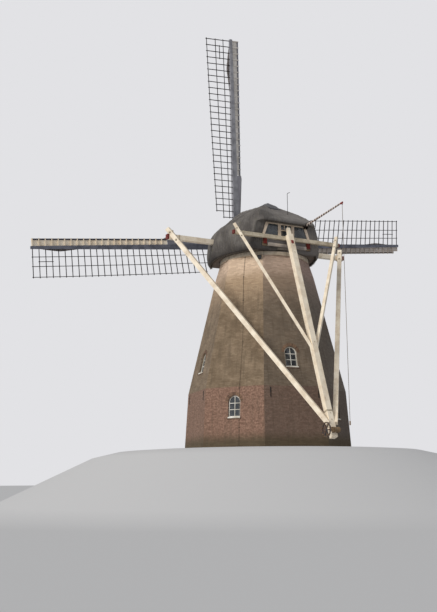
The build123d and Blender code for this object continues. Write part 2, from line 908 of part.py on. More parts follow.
# Winch on the foot of the tail pole
winch_y = tail_y(winch_z) + winch_stand_off
winch_plane = Plane(origin=(0, winch_y, winch_z), x_dir=(0, 1, 0), z_dir=(1, 0, 0))
with BuildPart() as tail_winch:
    for side in (-1, 1):
        cheek_x = side * (tail_size - winch_cheek) / 2 - winch_cheek / 2
        with BuildSketch(winch_plane.offset(cheek_x)):
            Rectangle(winch_stand_off, 2 * winch_drum_radius + winch_cheek, align=(Align.MAX, Align.CENTER))
            Circle(winch_drum_radius + winch_cheek / 2)
        extrude(amount=winch_cheek)
    with BuildSketch(winch_plane.offset(-winch_drum_length / 2)):
        Circle(winch_drum_radius)
    extrude(amount=winch_drum_length)
    with BuildSketch(winch_plane):
        Circle(winch_rim / 2)
    extrude(amount=winch_wheel_x + winch_rim)
    with BuildSketch(winch_plane.offset(winch_wheel_x)):
        Circle(winch_wheel_radius)
        Circle(winch_wheel_radius - winch_rim, mode=Mode.SUBTRACT)
        Circle(winch_rim)
        with PolarLocations(0, winch_spokes):
            Rectangle(winch_wheel_radius - winch_rim / 2, winch_rim / 2, align=(Align.MIN, Align.CENTER))
    extrude(amount=winch_rim)
    add(tail_pole.part, mode=Mode.SUBTRACT)
    add(long_braces.part, mode=Mode.SUBTRACT)
finish(tail_winch, "tail_winch")

# Rod on the hip, with a short bend at its top
rod_foot_z = ridge_peak_z - (rod_y - ridge_peak_y) * tan(radians(hip_slope))
with BuildPart() as hip_rod:
    with BuildLine() as rod_line:
        FilletPolyline(
            (rod_x, rod_y, rod_foot_z - rod_bend),
            (rod_x, rod_y, rod_foot_z + rod_height),
            (rod_x - rod_bend, rod_y, rod_foot_z + rod_height + rod_bend / 2),
            radius=rod_bend / 2,
        )
    with BuildSketch(Plane.XY.offset(rod_foot_z - rod_bend)):
        with Locations((rod_x, rod_y)):
            Circle(rod_radius)
    sweep()
    add(hull_outside.part, mode=Mode.SUBTRACT)
finish(hip_rod, "hip_rod")

# Brake lever on its bracket under the eave
pivot = (lever_x, lever_pivot_y, lever_pivot_z)
lever_tip = (lever_x, lever_tip_y, lever_tip_z)
lever_along = (Vector(*lever_tip) - Vector(*pivot)).normalized()
lever_heel_point = Vector(*pivot) - lever_along * lever_heel
cross_plane = Plane(origin=pivot, x_dir=(0, 1, 0), z_dir=(1, 0, 0))
bracket_inside = lever_root_radius + bracket_gap

with BuildPart() as lever_bracket:
    for side in (-1, 1):
        plate_x = side * (bracket_inside + bracket_thickness / 2) - bracket_thickness / 2
        with BuildSketch(cross_plane.offset(plate_x)):
            with Locations((gable_y - lever_pivot_y, -bracket_drop)):
                bracket_reach = lever_pivot_y - gable_y + bracket_rise
                Rectangle(bracket_reach, bracket_drop + bracket_rise, align=(Align.MIN, Align.MIN))
        extrude(amount=bracket_thickness)
    with BuildSketch(cross_plane.offset(-bracket_inside - bracket_thickness)):
        Circle(lever_pin_radius)
    extrude(amount=2 * (bracket_inside + bracket_thickness))
finish(lever_bracket, "lever_bracket")

hook_z = lever_tip_z - rope_hook_drop
hook_y = lever_tip_y - rope_eye_radius * 2
hook_plane = Plane(origin=(lever_x, hook_y, hook_z), x_dir=(0, 1, 0), z_dir=(1, 0, 0))
hook_inside = rope_eye_width / 2 + rope_hook_width / 4
with BuildPart() as brake_lever:
    with BuildSketch(Plane(origin=lever_heel_point, x_dir=(1, 0, 0), z_dir=lever_along)):
        Circle(lever_root_radius)
    with BuildSketch(Plane(origin=lever_tip, x_dir=(1, 0, 0), z_dir=lever_along)):
        Circle(lever_tip_radius)
    loft()
    with BuildSketch(cross_plane.offset(-bracket_inside)):
        Circle(lever_pin_radius + lever_pin_gap)
    extrude(amount=2 * bracket_inside, mode=Mode.SUBTRACT)
    for side in (-1, 1):
        hook_face = side * (hook_inside + rope_hook_width / 2) - rope_hook_width / 2
        with BuildSketch(hook_plane.offset(hook_face)):
            Rectangle(2 * rope_eye_radius, rope_hook_drop, align=(Align.CENTER, Align.MIN))
            Circle(rope_eye_radius)
        extrude(amount=rope_hook_width)
    with BuildSketch(hook_plane.offset(-hook_inside)):
        Circle(rope_pin_radius)
    extrude(amount=2 * hook_inside)
finish(brake_lever, "brake_lever")

with BuildPart() as rope_eye:
    with BuildSketch(hook_plane.offset(-rope_eye_width / 2)):
        Circle(rope_eye_radius)
        Circle(rope_pin_radius + lever_pin_gap, mode=Mode.SUBTRACT)
    extrude(amount=rope_eye_width)
finish(rope_eye, "rope_eye")

with BuildPart() as brake_rope:
    with BuildSketch(Plane.XY.offset(rope_bottom)):
        with Locations((lever_x, hook_y)):
            Circle(rope_radius)
    extrude(amount=hook_z - rope_eye_radius / 2 - rope_bottom)
    add(rope_eye.part, mode=Mode.SUBTRACT)
    with BuildSketch(hook_plane.offset(-rope_eye_width)):
        Circle(rope_eye_radius)
    extrude(amount=2 * rope_eye_width, mode=Mode.SUBTRACT)
finish(brake_rope, "brake_rope")

with BuildPart() as rope_handle:
    with BuildSketch(Plane.XY.offset(rope_bottom)):
        with Locations((lever_x, hook_y)):
            Circle(rope_handle_radius)
    extrude(amount=-rope_handle_length)
finish(rope_handle, "rope_handle")
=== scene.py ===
# %% [markdown]
# # A tower windmill with four lattice sails
# This lesson dresses the solid model of a brick windmill: an eight-sided tower that tapers up to a
# turning thatched cap, a tail pole with braces behind it, and four lattice sails in front.
# The solid model brings every load-carrying part at its true place. Here each part gets its finish,
# and the small things are added that make it look built by hand: bricks, bars, bolts, reed and rope.
# All lengths are in metres, Z is up, and the sails face -Y.

# %% Load the solid model
import bpy
import bmesh
import math
import random
from mathutils import Matrix, Vector
from mathutils import noise as value_noise


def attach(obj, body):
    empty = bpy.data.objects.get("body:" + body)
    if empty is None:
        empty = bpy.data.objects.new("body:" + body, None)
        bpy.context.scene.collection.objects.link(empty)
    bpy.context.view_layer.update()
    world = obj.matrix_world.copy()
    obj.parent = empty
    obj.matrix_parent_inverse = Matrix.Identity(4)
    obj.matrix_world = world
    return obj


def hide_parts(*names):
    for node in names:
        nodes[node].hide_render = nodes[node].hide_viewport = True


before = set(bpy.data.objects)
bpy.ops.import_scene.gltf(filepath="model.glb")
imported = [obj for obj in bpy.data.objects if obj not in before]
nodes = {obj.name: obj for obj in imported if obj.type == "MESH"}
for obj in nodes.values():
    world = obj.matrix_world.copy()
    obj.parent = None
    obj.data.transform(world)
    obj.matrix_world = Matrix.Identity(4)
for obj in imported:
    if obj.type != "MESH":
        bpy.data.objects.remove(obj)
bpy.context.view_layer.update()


def show(name, data):
    """New object in the scene, at the origin."""
    made = bpy.data.objects.new(name, data)
    bpy.context.scene.collection.objects.link(made)
    return made


def baked(source):
    """Mesh of an object with its modifiers applied. The object itself goes."""
    mesh = bpy.data.meshes.new_from_object(source.evaluated_get(bpy.context.evaluated_depsgraph_get()))
    bpy.data.objects.remove(source)
    return mesh


# %% [markdown]
# ## The camera
# A tall building looks right only from where one would stand. The camera is about 48 m away,
# behind the mill and to one side, lower than the tower's foot, and it looks up at the cap.
# A camera can be placed with three angles, but a direction and a roll are easier to reason about:
# the direction gives the camera's own axes, and the roll turns them about it.

# %% Camera
picture_height = 612
focal_length_pixels = 875.3
camera_place = Vector((24.043, 42.113, -1.630))
view_direction = Vector((-0.43929, -0.87632, 0.19770)).normalized()
camera_roll = math.radians(-0.411)

level_right = view_direction.cross(Vector((0, 0, 1))).normalized()
level_up = level_right.cross(view_direction)
camera_right = level_right * math.cos(camera_roll) + level_up * math.sin(camera_roll)
camera_up = level_up * math.cos(camera_roll) - level_right * math.sin(camera_roll)
camera_matrix = Matrix((camera_right, camera_up, -view_direction)).transposed().to_4x4()
camera_matrix.translation = camera_place
camera = show("camera", bpy.data.cameras.new("camera"))
camera.matrix_world = camera_matrix
camera.data.sensor_width = 36
camera.data.lens = camera.data.sensor_width * focal_length_pixels / picture_height
camera.data.clip_start = 1
camera.data.clip_end = 2000
bpy.context.scene.camera = camera
print("lens:", round(camera.data.lens, 2), "mm")

# %% [markdown]
# ## Helpers for shapes
# Most added pieces are small boxes, tubes and boards. One mesh per kind of piece keeps the outliner
# short, so these helpers add to a bmesh and then turn it into an object at the origin.

# %% Shape helpers
def piece_with(mesh, name, material, body, slot, replaced=(), smooth=False):
    """Give a mesh its object, finish and body, and name the nodes that it stands for; the slot is not used.
    """
    mesh.materials.clear()
    mesh.materials.append(material)
    for polygon in mesh.polygons:
        polygon.use_smooth = smooth
    piece = show(name, mesh)
    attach(piece, body)
    if replaced:
        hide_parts(*replaced)
    print(name, "faces:", len(mesh.polygons))
    return piece


def piece_from(builder, name, *given, **options):
    """Turn a finished bmesh into a piece."""
    bmesh.ops.recalc_face_normals(builder, faces=builder.faces)
    mesh = bpy.data.meshes.new(name)
    builder.to_mesh(mesh)
    builder.free()
    return piece_with(mesh, name, *given, **options)


def place(origin, x_axis, z_axis):
    """Matrix with its origin, its x axis and its z axis given; y follows."""
    z_axis = Vector(z_axis).normalized()
    x_axis = Vector(x_axis)
    x_axis = (x_axis - z_axis * x_axis.dot(z_axis)).normalized()
    matrix = Matrix((x_axis, z_axis.cross(x_axis), z_axis)).transposed().to_4x4()
    matrix.translation = Vector(origin)
    return matrix


def between(low, high, share):
    return low + (high - low) * share


def full_turn(steps):
    """Angles at even steps round a circle; the last closes it."""
    return [2 * math.pi * step / steps for step in range(steps + 1)]


def add_box(builder, matrix, low, high, bevel):
    """Add a box between two corners of a placed frame, with its edges taken off."""
    low, high = Vector(low), Vector(high)
    verts = bmesh.ops.create_cube(builder, size=1.0)["verts"]
    local = Matrix.Translation((low + high) / 2) @ Matrix.Diagonal((*(high - low), 1))
    bmesh.ops.transform(builder, matrix=matrix @ local, verts=verts)
    edges = list({edge for vertex in verts for edge in vertex.link_edges})
    bmesh.ops.bevel(builder, geom=edges, offset=bevel, segments=1, affect="EDGES")


def add_loft(builder, rings):
    """Closed body through rings of equal size."""
    made = [[builder.verts.new(point) for point in ring] for ring in rings]
    count = len(made[0])
    for first, second in zip(made, made[1:]):
        for step in range(count):
            following = (step + 1) % count
            builder.faces.new((first[step], first[following], second[following], second[step]))
    builder.faces.new(made[0][::-1])
    builder.faces.new(made[-1])


def add_tube(builder, points, radius, sides):
    """Add a closed round bar through points."""
    rings = []
    side = None
    for index, point in enumerate(points):
        along = (points[min(index + 1, len(points) - 1)] - points[max(index - 1, 0)]).normalized()
        side = side or along.orthogonal().normalized()
        side = (side - along * side.dot(along)).normalized()
        other = along.cross(side)
        rings.append([point + (side * math.cos(turn) + other * math.sin(turn)) * radius
                      for turn in full_turn(sides)[:-1]])
    add_loft(builder, rings)


print("shape helpers ready")

# %% [markdown]
# ## Helpers for finishes
# A finish is a small network of nodes. Writing each node by hand is slow to read, so a value in the
# network is kept as a signal: two signals can be added, subtracted and multiplied like numbers, and
# the nodes for that appear by themselves. Every pattern reads Object coordinates, which are the same
# metres as the model, so a brick is as large on one wall as on the next.

# %% Finish helpers
class Signal:
    """A value in a network, which sums, differences and products carry on."""

    def __init__(self, network, socket):
        self.network = network
        self.socket = socket

    def __add__(self, other):
        return self.network.maths("ADD", self, other)

    def __sub__(self, other):
        return self.network.maths("SUBTRACT", self, other)

    def __mul__(self, other):
        return self.network.maths("MULTIPLY", self, other)


class Network:
    """Short calls for a tree of shader nodes."""

    def __init__(self, tree):
        self.tree = tree

    def add(self, kind, inputs, **settings):
        """New node with its settings and its inputs; gives its outputs."""
        made = self.tree.nodes.new("ShaderNode" + kind)
        for key, value in settings.items():
            setattr(made, key, value)
        for key, value in inputs.items():
            self.feed(made.inputs[key], value)
        return made.outputs

    def feed(self, socket, value):
        if isinstance(value, Signal):
            self.tree.links.new(value.socket, socket)
        else:
            socket.default_value = value

    def out(self, output, kind, inputs, **settings):
        """New node, of which one output matters."""
        return Signal(self, self.add(kind, inputs, **settings)[output])

    def maths(self, operation, first, second=0.0):
        return self.out("Value", "Math", {0: first, 1: second}, operation=operation)


class Finish(Network):
    """A material, with the Object coordinates as the signal named place."""

    def __init__(self, name, roughness=0.8, metallic=0.0, shine=0.3):
        self.material = bpy.data.materials.new(name)
        self.material.use_nodes = True
        super().__init__(self.material.node_tree)
        self.shader = self.tree.nodes["Principled BSDF"].inputs
        self.shader["Roughness"].default_value = roughness
        self.shader["Metallic"].default_value = metallic
        self.shader["Specular IOR Level"].default_value = shine
        self.place = self.out("Object", "TexCoord", {})

    def mapped(self, vector, **changes):
        """Coordinates with a Scale, a Rotation or a Location."""
        return self.out("Vector", "Mapping", {"Vector": vector, **changes})

    def split(self, vector):
        outputs = self.add("SeparateXYZ", {"Vector": vector})
        return [Signal(self, outputs[axis]) for axis in "XYZ"]

    def joined(self, x, y, z):
        return self.out("Vector", "CombineXYZ", {"X": x, "Y": y, "Z": z})

    def noise(self, scale, detail=4.0, roughness=0.55, distortion=0.0, at=None, stretch=None):
        """Noise over the place or other coordinates, stretched by a factor on each axis."""
        vector = at or self.place
        if stretch:
            vector = self.mapped(vector, Scale=stretch)
        return self.out("Fac", "TexNoise", {"Vector": vector, "Scale": scale, "Detail": detail,
                                            "Roughness": roughness, "Distortion": distortion})

    def spread(self, value, low, high, to_low=0.0, to_high=1.0):
        """Stretch the part of a value between low and high, softly at both ends."""
        inputs = {"Value": value, "From Min": low, "From Max": high, "To Min": to_low, "To Max": to_high}
        return self.out("Result", "MapRange", inputs, interpolation_type="SMOOTHSTEP")

    def mixed(self, share, first, second, blend="MIX"):
        return self.out(2, "Mix", {0: share, 6: first, 7: second}, data_type="RGBA", blend_type=blend)

    def graded(self, value, low, high, first, second, most=1.0):
        """From a first colour to a second as a value goes from low to high, or most of the way."""
        return self.mixed(self.spread(value, low, high, 0.0, most), first, second)

    def done(self, colour, height, depth, strength, roughness=None):
        """Connect the colour and the relief, and the roughness where it varies."""
        self.feed(self.shader["Base Color"], colour)
        relief = {"Height": height, "Distance": depth, "Strength": strength}
        self.feed(self.shader["Normal"], self.out("Normal", "Bump", relief))
        if roughness:
            self.feed(self.shader["Roughness"], roughness)
        return self.material


def tone(red, green, blue):
    """A colour as it is picked on a screen, 0 to 255, in the renderer's linear values."""
    def linear(value):
        share = value / 255
        return share / 12.92 if share <= 0.04045 else ((share + 0.055) / 1.055) ** 2.4
    return (linear(red), linear(green), linear(blue), 1.0)


def refinish(material, *names):
    """Give nodes of the solid model another finish."""
    for name in names:
        slots = nodes[name].data.materials
        slots.clear()
        slots.append(material)


print("finish helpers ready")

# %% [markdown]
# ## Light, sky and floor
# A building is judged in daylight, so one wide sun stands in for a large soft lamp at the left, and
# a pale sky fills the shadows. The floor is plain. It falls away from the tower on all sides,
# because the camera stands lower than the tower's foot and would otherwise look at its underside.

# %% Light, sky and floor
sun = show("soft_sun", bpy.data.lights.new("soft_sun", "SUN"))
sun.data.energy = 2.1
sun.data.angle = math.radians(25)
sun.data.color = (1.0, 0.965, 0.91)
sun_from = Vector((0.86, 0.22, 0.46))
sun.rotation_euler = sun_from.to_track_quat("Z", "Y").to_euler()

world = bpy.data.worlds.new("pale_sky")
world.use_nodes = True
bpy.context.scene.world = world
bpy.context.scene.view_settings.view_transform = "Standard"
sky = Network(world.node_tree)
fill = sky.tree.nodes["Background"]
fill.inputs["Color"].default_value = (0.93, 0.96, 1.0, 1.0)
fill.inputs["Strength"].default_value = 0.42
fill_light = Signal(sky, fill.outputs["Background"])
seen_sky = sky.out("Background", "Background", {"Color": tone(226, 226, 229)})
rays = sky.add("LightPath", {})
seen = sky.maths("MAXIMUM", Signal(sky, rays["Is Camera Ray"]), Signal(sky, rays["Is Glossy Ray"]))
seen = sky.maths("MAXIMUM", seen, Signal(sky, rays["Is Transmission Ray"]))
sky_light = sky.out("Shader", "MixShader", {"Fac": seen, 1: fill_light, 2: seen_sky})
sky.feed(sky.tree.nodes["World Output"].inputs["Surface"], sky_light)

floor_profile = ((7.4, 0.0), (8.2, -0.05), (9.5, -0.35), (14.5, -2.7), (16.5, -3.15), (19.0, -3.25),
                 (60.0, -3.25), (900.0, -3.25))
floor_sides = 96
floor_builder = bmesh.new()
rings = []
for radius, height in floor_profile:
    rings.append([floor_builder.verts.new((radius * math.cos(turn), radius * math.sin(turn), height))
                  for turn in full_turn(floor_sides)[:-1]])
floor_builder.faces.new(rings[0])
for inner, outer in zip(rings, rings[1:]):
    for step in range(floor_sides):
        following = (step + 1) % floor_sides
        floor_builder.faces.new((inner[step], outer[step], outer[following], inner[following]))
floor_mesh = bpy.data.meshes.new("floor")
floor_builder.to_mesh(floor_mesh)
floor_builder.free()
for polygon in floor_mesh.polygons:
    polygon.use_smooth = True
plain_floor = Finish("plain_floor", roughness=0.95, shine=0.0)
plain_floor.shader["Base Color"].default_value = (0.62, 0.62, 0.63, 1.0)
floor_mesh.materials.append(plain_floor.material)
show("floor", floor_mesh)
print("light, sky and floor ready")

# %% [markdown]
# ## The brake rope
# A rope hangs from the lever's tip almost down to the tower's foot, where it is pulled. It is one
# smooth curve under its own weight, and because it hangs straight, four points are enough.
# The solid tube of the same place is hidden, and the handle stays as the piece at its end.

# %% The brake rope
rope_top = Vector((-1.2, 6.148, 12.454))
rope_bottom = 1.3
rope_radius = 0.012
rope_heights = (rope_top.z, 9.4, 5.2, rope_bottom)
rope_curve = bpy.data.curves.new("brake_line", "CURVE")
rope_curve.dimensions = "3D"
rope_curve.bevel_depth = rope_radius
rope_curve.bevel_resolution = 3
rope_curve.use_fill_caps = True
rope_line = rope_curve.splines.new("NURBS")
rope_line.points.add(len(rope_heights) - 1)
for point, height in zip(rope_line.points, rope_heights):
    point.co = (rope_top.x, rope_top.y, height, 1.0)
rope_line.order_u = 3
rope_line.use_endpoint_u = True


def hemp_finish():
    """Twisted hemp: three strands that wind round the rope's own line."""
    hemp = Finish("twisted_hemp", roughness=0.9)
    x, y, z = hemp.split(hemp.mapped(hemp.place, Location=(-rope_top.x, -rope_top.y, 0)))
    strand = hemp.maths("SINE", hemp.maths("ARCTAN2", y, x) * 3.0 + z * 160.0)
    colour = hemp.graded(hemp.noise(3.0), 0.35, 0.65, tone(96, 86, 74), tone(134, 122, 104))
    return hemp.done(colour, strand, 0.004, 0.6)


rope_curve.materials.append(hemp_finish())
brake_line = show("brake_line", rope_curve)
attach(brake_line, "brake_rope")
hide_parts("brake_rope")
print("rope:", round(rope_top.z - rope_bottom, 3), "m")

# %% [markdown]
# ## Brickwork
# Each wall leans and faces another way, so each gets its own copy of one finish, turned until the
# pattern's first axis runs along the wall. The Brick Texture gives courses of about 75 mm. On top of
# it lie the stains that make old brick believable: moss above the kink, rain streaks, a dark wet
# band at the foot, and a pale dry band where the cap keeps the rain off.
# A picture of bricks would be quicker, but it would repeat, and it would not survive a new size.

# %% Brickwork
face_count = 8
tower_turn = math.radians(-8.8)
face_turn = 2 * math.pi / face_count
kink_height = 3.18
course_height = 0.075
brick_length = 0.225
face_dampness = (0.30, 0.12, 0.52, 0.90, 1.00, 0.90, 0.65, 0.40)


def brick_finish(face, dampness):
    """Weathered brick for one wall: the damper, the darker and greyer."""
    brick = Finish(f"weathered_brick_{face + 1}", roughness=0.92)
    level = brick.mapped(brick.place, Rotation=(0, 0, -tower_turn - face_turn * face))
    _, along, height = brick.split(level)
    wall = brick.joined(along, height, 0.0)
    bond = brick.add("TexBrick", {
        "Vector": wall, "Scale": 1.0, "Mortar Size": 0.006, "Mortar Smooth": 0.3, "Bias": -0.1,
        "Brick Width": brick_length, "Row Height": course_height,
        "Color1": (1.0, 1.0, 1.0, 1.0), "Color2": (0.66, 0.62, 0.60, 1.0), "Mortar": (0.80, 0.79, 0.76, 1.0),
    })
    patches = brick.noise(1.3, 6.0, 0.65, at=wall)
    specks = brick.noise(9.0, 5.0, 0.7, at=wall)
    streaks = brick.noise(1.0, 5.0, at=wall, stretch=(5.0, 0.35, 1.0))
    ragged = height + patches * 0.5
    crisp = height + specks * 0.10

    red = brick.graded(specks, 0.3, 0.7, tone(122, 92, 78), tone(176, 140, 120))
    red = brick.mixed(min(1.0, dampness * 1.2), red, tone(108, 97, 88))
    moss = brick.graded(patches, 0.35, 0.68, tone(126, 108, 86), tone(156, 136, 112))
    moss = brick.mixed(dampness, moss, tone(116, 108, 100))
    faded = brick.mixed(dampness, tone(190, 164, 134), tone(142, 128, 120))
    dry = brick.mixed(dampness, tone(238, 212, 184), tone(176, 152, 144))
    colour = brick.graded(crisp, kink_height + 0.03, kink_height + 0.08, red, moss)
    colour = brick.graded(ragged, 7.4, 9.6, colour, faded)
    colour = brick.graded(ragged, 9.2, 10.2, colour, dry)
    colour = brick.graded(ragged, 0.55, 1.25, tone(96, 84, 66), colour)
    colour = brick.mixed(0.7, colour, Signal(brick, bond["Color"]), blend="MULTIPLY")
    rain = brick.spread(streaks, 0.48, 0.72) * brick.spread(ragged, 8.2, 9.2, 0.4, 0.0)
    colour = brick.mixed(rain, colour, tone(82, 72, 60))
    return brick.done(colour, specks * 0.6 - Signal(brick, bond["Fac"]), 0.012, 0.8)


for face, dampness in enumerate(face_dampness):
    refinish(brick_finish(face, dampness), f"tower_wall_{face + 1}")
print("walls finished:", face_count)

# %% [markdown]
# ## Frames for walls and sail arms
# The walls lean and the sail arms turn about a tilted shaft, so measuring there in plain x, y and z
# would be clumsy. Two functions give the frame of a wall and of an arm: a piece is drawn flat in it
# and lands in the right place.

# %% Frames of walls and arms
foot_radius, kink_radius, top_radius = 4.56, 4.35, 2.58
tower_top = 10.45
flat_share = math.cos(face_turn / 2)
hub = Vector((0, -3.611, 12.484))
shaft_tilt = math.radians(10.67)
sail_turn = math.radians(6.65)
shaft_axis = Vector((0, -math.cos(shaft_tilt), math.sin(shaft_tilt)))
shaft_up = Vector((0, math.sin(shaft_tilt), math.cos(shaft_tilt)))
stock_offset = 0.22
sail_radius = 12.5
bar_pitch = 0.368
bar_radii = [sail_radius - 0.1 - bar_pitch * index for index in range(30)]


def corner_radius(z):
    """Distance of the tower's corners from its axis at height z."""
    if z < kink_height:
        return between(foot_radius, kink_radius, z / kink_height)
    return between(kink_radius, top_radius, (z - kink_height) / (tower_top - kink_height))


def wall_frame(face, z, out=0.0):
    """Frame on a wall: x along it, y up it, z outwards."""
    angle = tower_turn + face_turn * face
    level_out = Vector((math.cos(angle), math.sin(angle), 0))
    low, high = (0.0, kink_height) if z < kink_height else (kink_height, tower_top)
    lean = math.atan2((corner_radius(low) - corner_radius(high)) * flat_share, high - low)
    outwards = level_out * math.cos(lean) + Vector((0, 0, math.sin(lean)))
    middle = level_out * corner_radius(z) * flat_share + Vector((0, 0, z))
    return place(middle + outwards * out, (-math.sin(angle), math.cos(angle), 0), outwards)


def arm_frame(arm):
    """Frame of a sail arm: x out along it, y to its leading side, z to the front."""
    angle = math.pi / 2 * arm - sail_turn
    out = Vector((1, 0, 0)) * math.cos(angle) + shaft_up * math.sin(angle)
    return place(hub + shaft_axis * (-stock_offset if arm % 2 else stock_offset), out, shaft_axis)


def pitch(distance):
    """Twist of a sail at a distance from the hub."""
    share = (distance - bar_radii[-1]) / (bar_radii[0] - bar_radii[-1])
    return math.radians(between(22, 2, share))


def stock_width(distance):
    return between(0.36, 0.16, distance / sail_radius)


def stock_depth(distance):
    return between(0.32, 0.15, distance / sail_radius)


arm_frames = [arm_frame(arm) for arm in range(4)]
print("arm directions:", [tuple(round(value, 2) for value in each.col[0][:3]) for each in arm_frames])

# %% [markdown]
# ## Small pieces that repeat
# Bolts, arch bricks, reeds and pegs are one small shape, many times over. Geometry Nodes place
# them: a mesh of loose points holds where each goes, how it is turned and how large and how pale it
# is, and the tree puts the shape there. Placing each by hand in code also works, but then a change
# of the shape means making every piece again.

# %% Copies on points
def copies_tree(name, shape, inputs):
    """Tree that puts one shape on every point. Inputs: label, (socket kind, value, socket of the shape)."""
    tree = bpy.data.node_groups.new(name, "GeometryNodeTree")
    tree.interface.new_socket("Points", in_out="INPUT", socket_type="NodeSocketGeometry")
    tree.interface.new_socket("Pieces", in_out="OUTPUT", socket_type="NodeSocketGeometry")
    for label, (kind, value, _) in inputs.items():
        socket = tree.interface.new_socket(label, in_out="INPUT", socket_type="NodeSocket" + kind)
        socket.default_value = value
    tree.interface.new_socket("Finish", in_out="INPUT", socket_type="NodeSocketMaterial")
    start = tree.nodes.new("NodeGroupInput").outputs
    end = tree.nodes.new("NodeGroupOutput").inputs
    form = tree.nodes.new("GeometryNodeMesh" + shape)
    turn, size = [tree.nodes.new("GeometryNodeInputNamedAttribute") for _ in range(2)]
    for own, label in ((turn, "turn"), (size, "size")):
        own.data_type = "FLOAT_VECTOR"
        own.inputs["Name"].default_value = label
    turned = tree.nodes.new("FunctionNodeEulerToRotation")
    copies = tree.nodes.new("GeometryNodeInstanceOnPoints")
    real = tree.nodes.new("GeometryNodeRealizeInstances")
    finished = tree.nodes.new("GeometryNodeSetMaterial")
    links = [(start[label], form.inputs[target]) for label, (_, _, target) in inputs.items()]
    links += [
        (turn.outputs["Attribute"], turned.inputs["Euler"]),
        (start["Points"], copies.inputs["Points"]),
        (form.outputs["Mesh"], copies.inputs["Instance"]),
        (turned.outputs["Rotation"], copies.inputs["Rotation"]),
        (size.outputs["Attribute"], copies.inputs["Scale"]),
        (copies.outputs["Instances"], real.inputs["Geometry"]),
        (real.outputs["Geometry"], finished.inputs["Geometry"]),
        (start["Finish"], finished.inputs["Material"]),
        (finished.outputs["Geometry"], end["Pieces"]),
    ]
    for source, target in links:
        tree.links.new(source, target)
    return tree


def spot(matrix, size=(1, 1, 1), shade=0.5):
    """Where one copy goes, its size on each axis and how pale it is."""
    return matrix, size, shade


def copies_piece(tree, spots, values, name, material, body, slot):
    """Piece made by a tree from spots."""
    points = bpy.data.meshes.new(name + "_points")
    points.from_pydata([matrix.translation[:] for matrix, _, _ in spots], [], [])
    for label, kind in (("turn", "FLOAT_VECTOR"), ("size", "FLOAT_VECTOR"), ("shade", "FLOAT")):
        points.attributes.new(label, kind, "POINT")
    # A new attribute moves the others in memory, so they are looked up once all are there.
    turns, sizes, shades = [points.attributes[label].data for label in ("turn", "size", "shade")]
    for index, (matrix, size, shade) in enumerate(spots):
        turns[index].vector = matrix.to_euler()[:]
        sizes[index].vector = size
        shades[index].value = shade
    source = show(name + "_source", points)
    modifier = source.modifiers.new("copies", "NODES")
    modifier.node_group = tree
    sockets = {item.name: item.identifier for item in tree.interface.items_tree if item.in_out == "INPUT"}
    for label, value in values.items():
        modifier[sockets[label]] = value
    modifier[sockets["Finish"]] = material
    mesh = baked(source)
    mesh.name = name
    return piece_with(mesh, name, material, body, slot)


block_tree = copies_tree("blocks_on_points", "Cube", {"Block size": ("Vector", (0.1, 0.1, 0.1), "Size")})
round_tree = copies_tree("rounds_on_points", "Cylinder", {
    "Sides": ("Int", 6, "Vertices"),
    "Radius": ("Float", 0.02, "Radius"),
    "Length": ("Float", 0.02, "Depth"),
})
reed_tree = copies_tree("reeds_on_points", "Cone", {
    "Sides": ("Int", 4, "Vertices"),
    "Tip radius": ("Float", 0.003, "Radius Top"),
    "Butt radius": ("Float", 0.008, "Radius Bottom"),
    "Length": ("Float", 0.1, "Depth"),
})


def own_shade(finish, dark, pale):
    """Colour of a copy, between two tones by the shade that its point gives it."""
    return finish.mixed(finish.out("Fac", "Attribute", {}, attribute_name="shade"), dark, pale)


print("trees:", [tree.name for tree in bpy.data.node_groups])

# %% [markdown]
# ## Timber, paint and iron
# Painted beams are cream, with grain and rain streaks that run along the beam, so each finish is
# told the beam's direction. Beam ends that stand in the weather are painted dark red, as on many
# mills. The red is a place along the beam, not another mesh, so that no seam can open there.

# %% Timber and iron finishes
along_x, along_y, along_z = (1, 0, 0), (0, 1, 0), (0, 0, 1)


def along_beam(finish, direction, mirrored=False):
    """Object coordinates turned so that x runs along a beam; mirrored, they serve a pair of beams."""
    where = finish.place
    if mirrored:
        x, y, z = finish.split(where)
        where = finish.joined(finish.maths("ABSOLUTE", x), y, z)
    turn = Vector(direction).rotation_difference(Vector(along_x)).to_euler()
    return finish.mapped(where, Rotation=turn[:])


def with_red_end(finish, tones, cloud, along, beyond, fresh, dull):
    """Colour that turns to dark red beyond a place along the beam."""
    red = finish.graded(cloud, 0.35, 0.65, fresh, dull)
    return finish.graded(along, beyond - 0.004, beyond + 0.004, tones, red)


def painted(name, direction, pale, grimy, red_beyond=None, mirrored=False):
    """Weathered oil paint on a beam; beyond a place along it, at both ends, it is dark red."""
    paint = Finish(name, roughness=0.55)
    beam = along_beam(paint, direction, mirrored)
    grain = paint.noise(1.0, 5.0, at=beam, stretch=(1.2, 28, 28))
    blotches = paint.noise(2.2, 6.0, 0.6, at=beam)
    streaks = paint.noise(1.0, at=beam, stretch=(0.7, 9, 9))
    tones = paint.graded(blotches, 0.35, 0.7, pale, grimy)
    tones = paint.graded(streaks, 0.52, 0.75, tones, grimy, most=0.4)
    bare = paint.spread(blotches * grain, 0.40, 0.46)
    tones = paint.mixed(bare * 0.8, tones, tone(128, 116, 102))
    if red_beyond:
        along = paint.maths("ABSOLUTE", paint.split(beam)[0])
        tones = with_red_end(paint, tones, blotches, along, red_beyond, tone(122, 42, 36), tone(92, 38, 34))
    return paint.done(tones, grain - bare * 0.5, 0.004, 0.5, paint.spread(blotches, 0.3, 0.7, 0.45, 0.72))


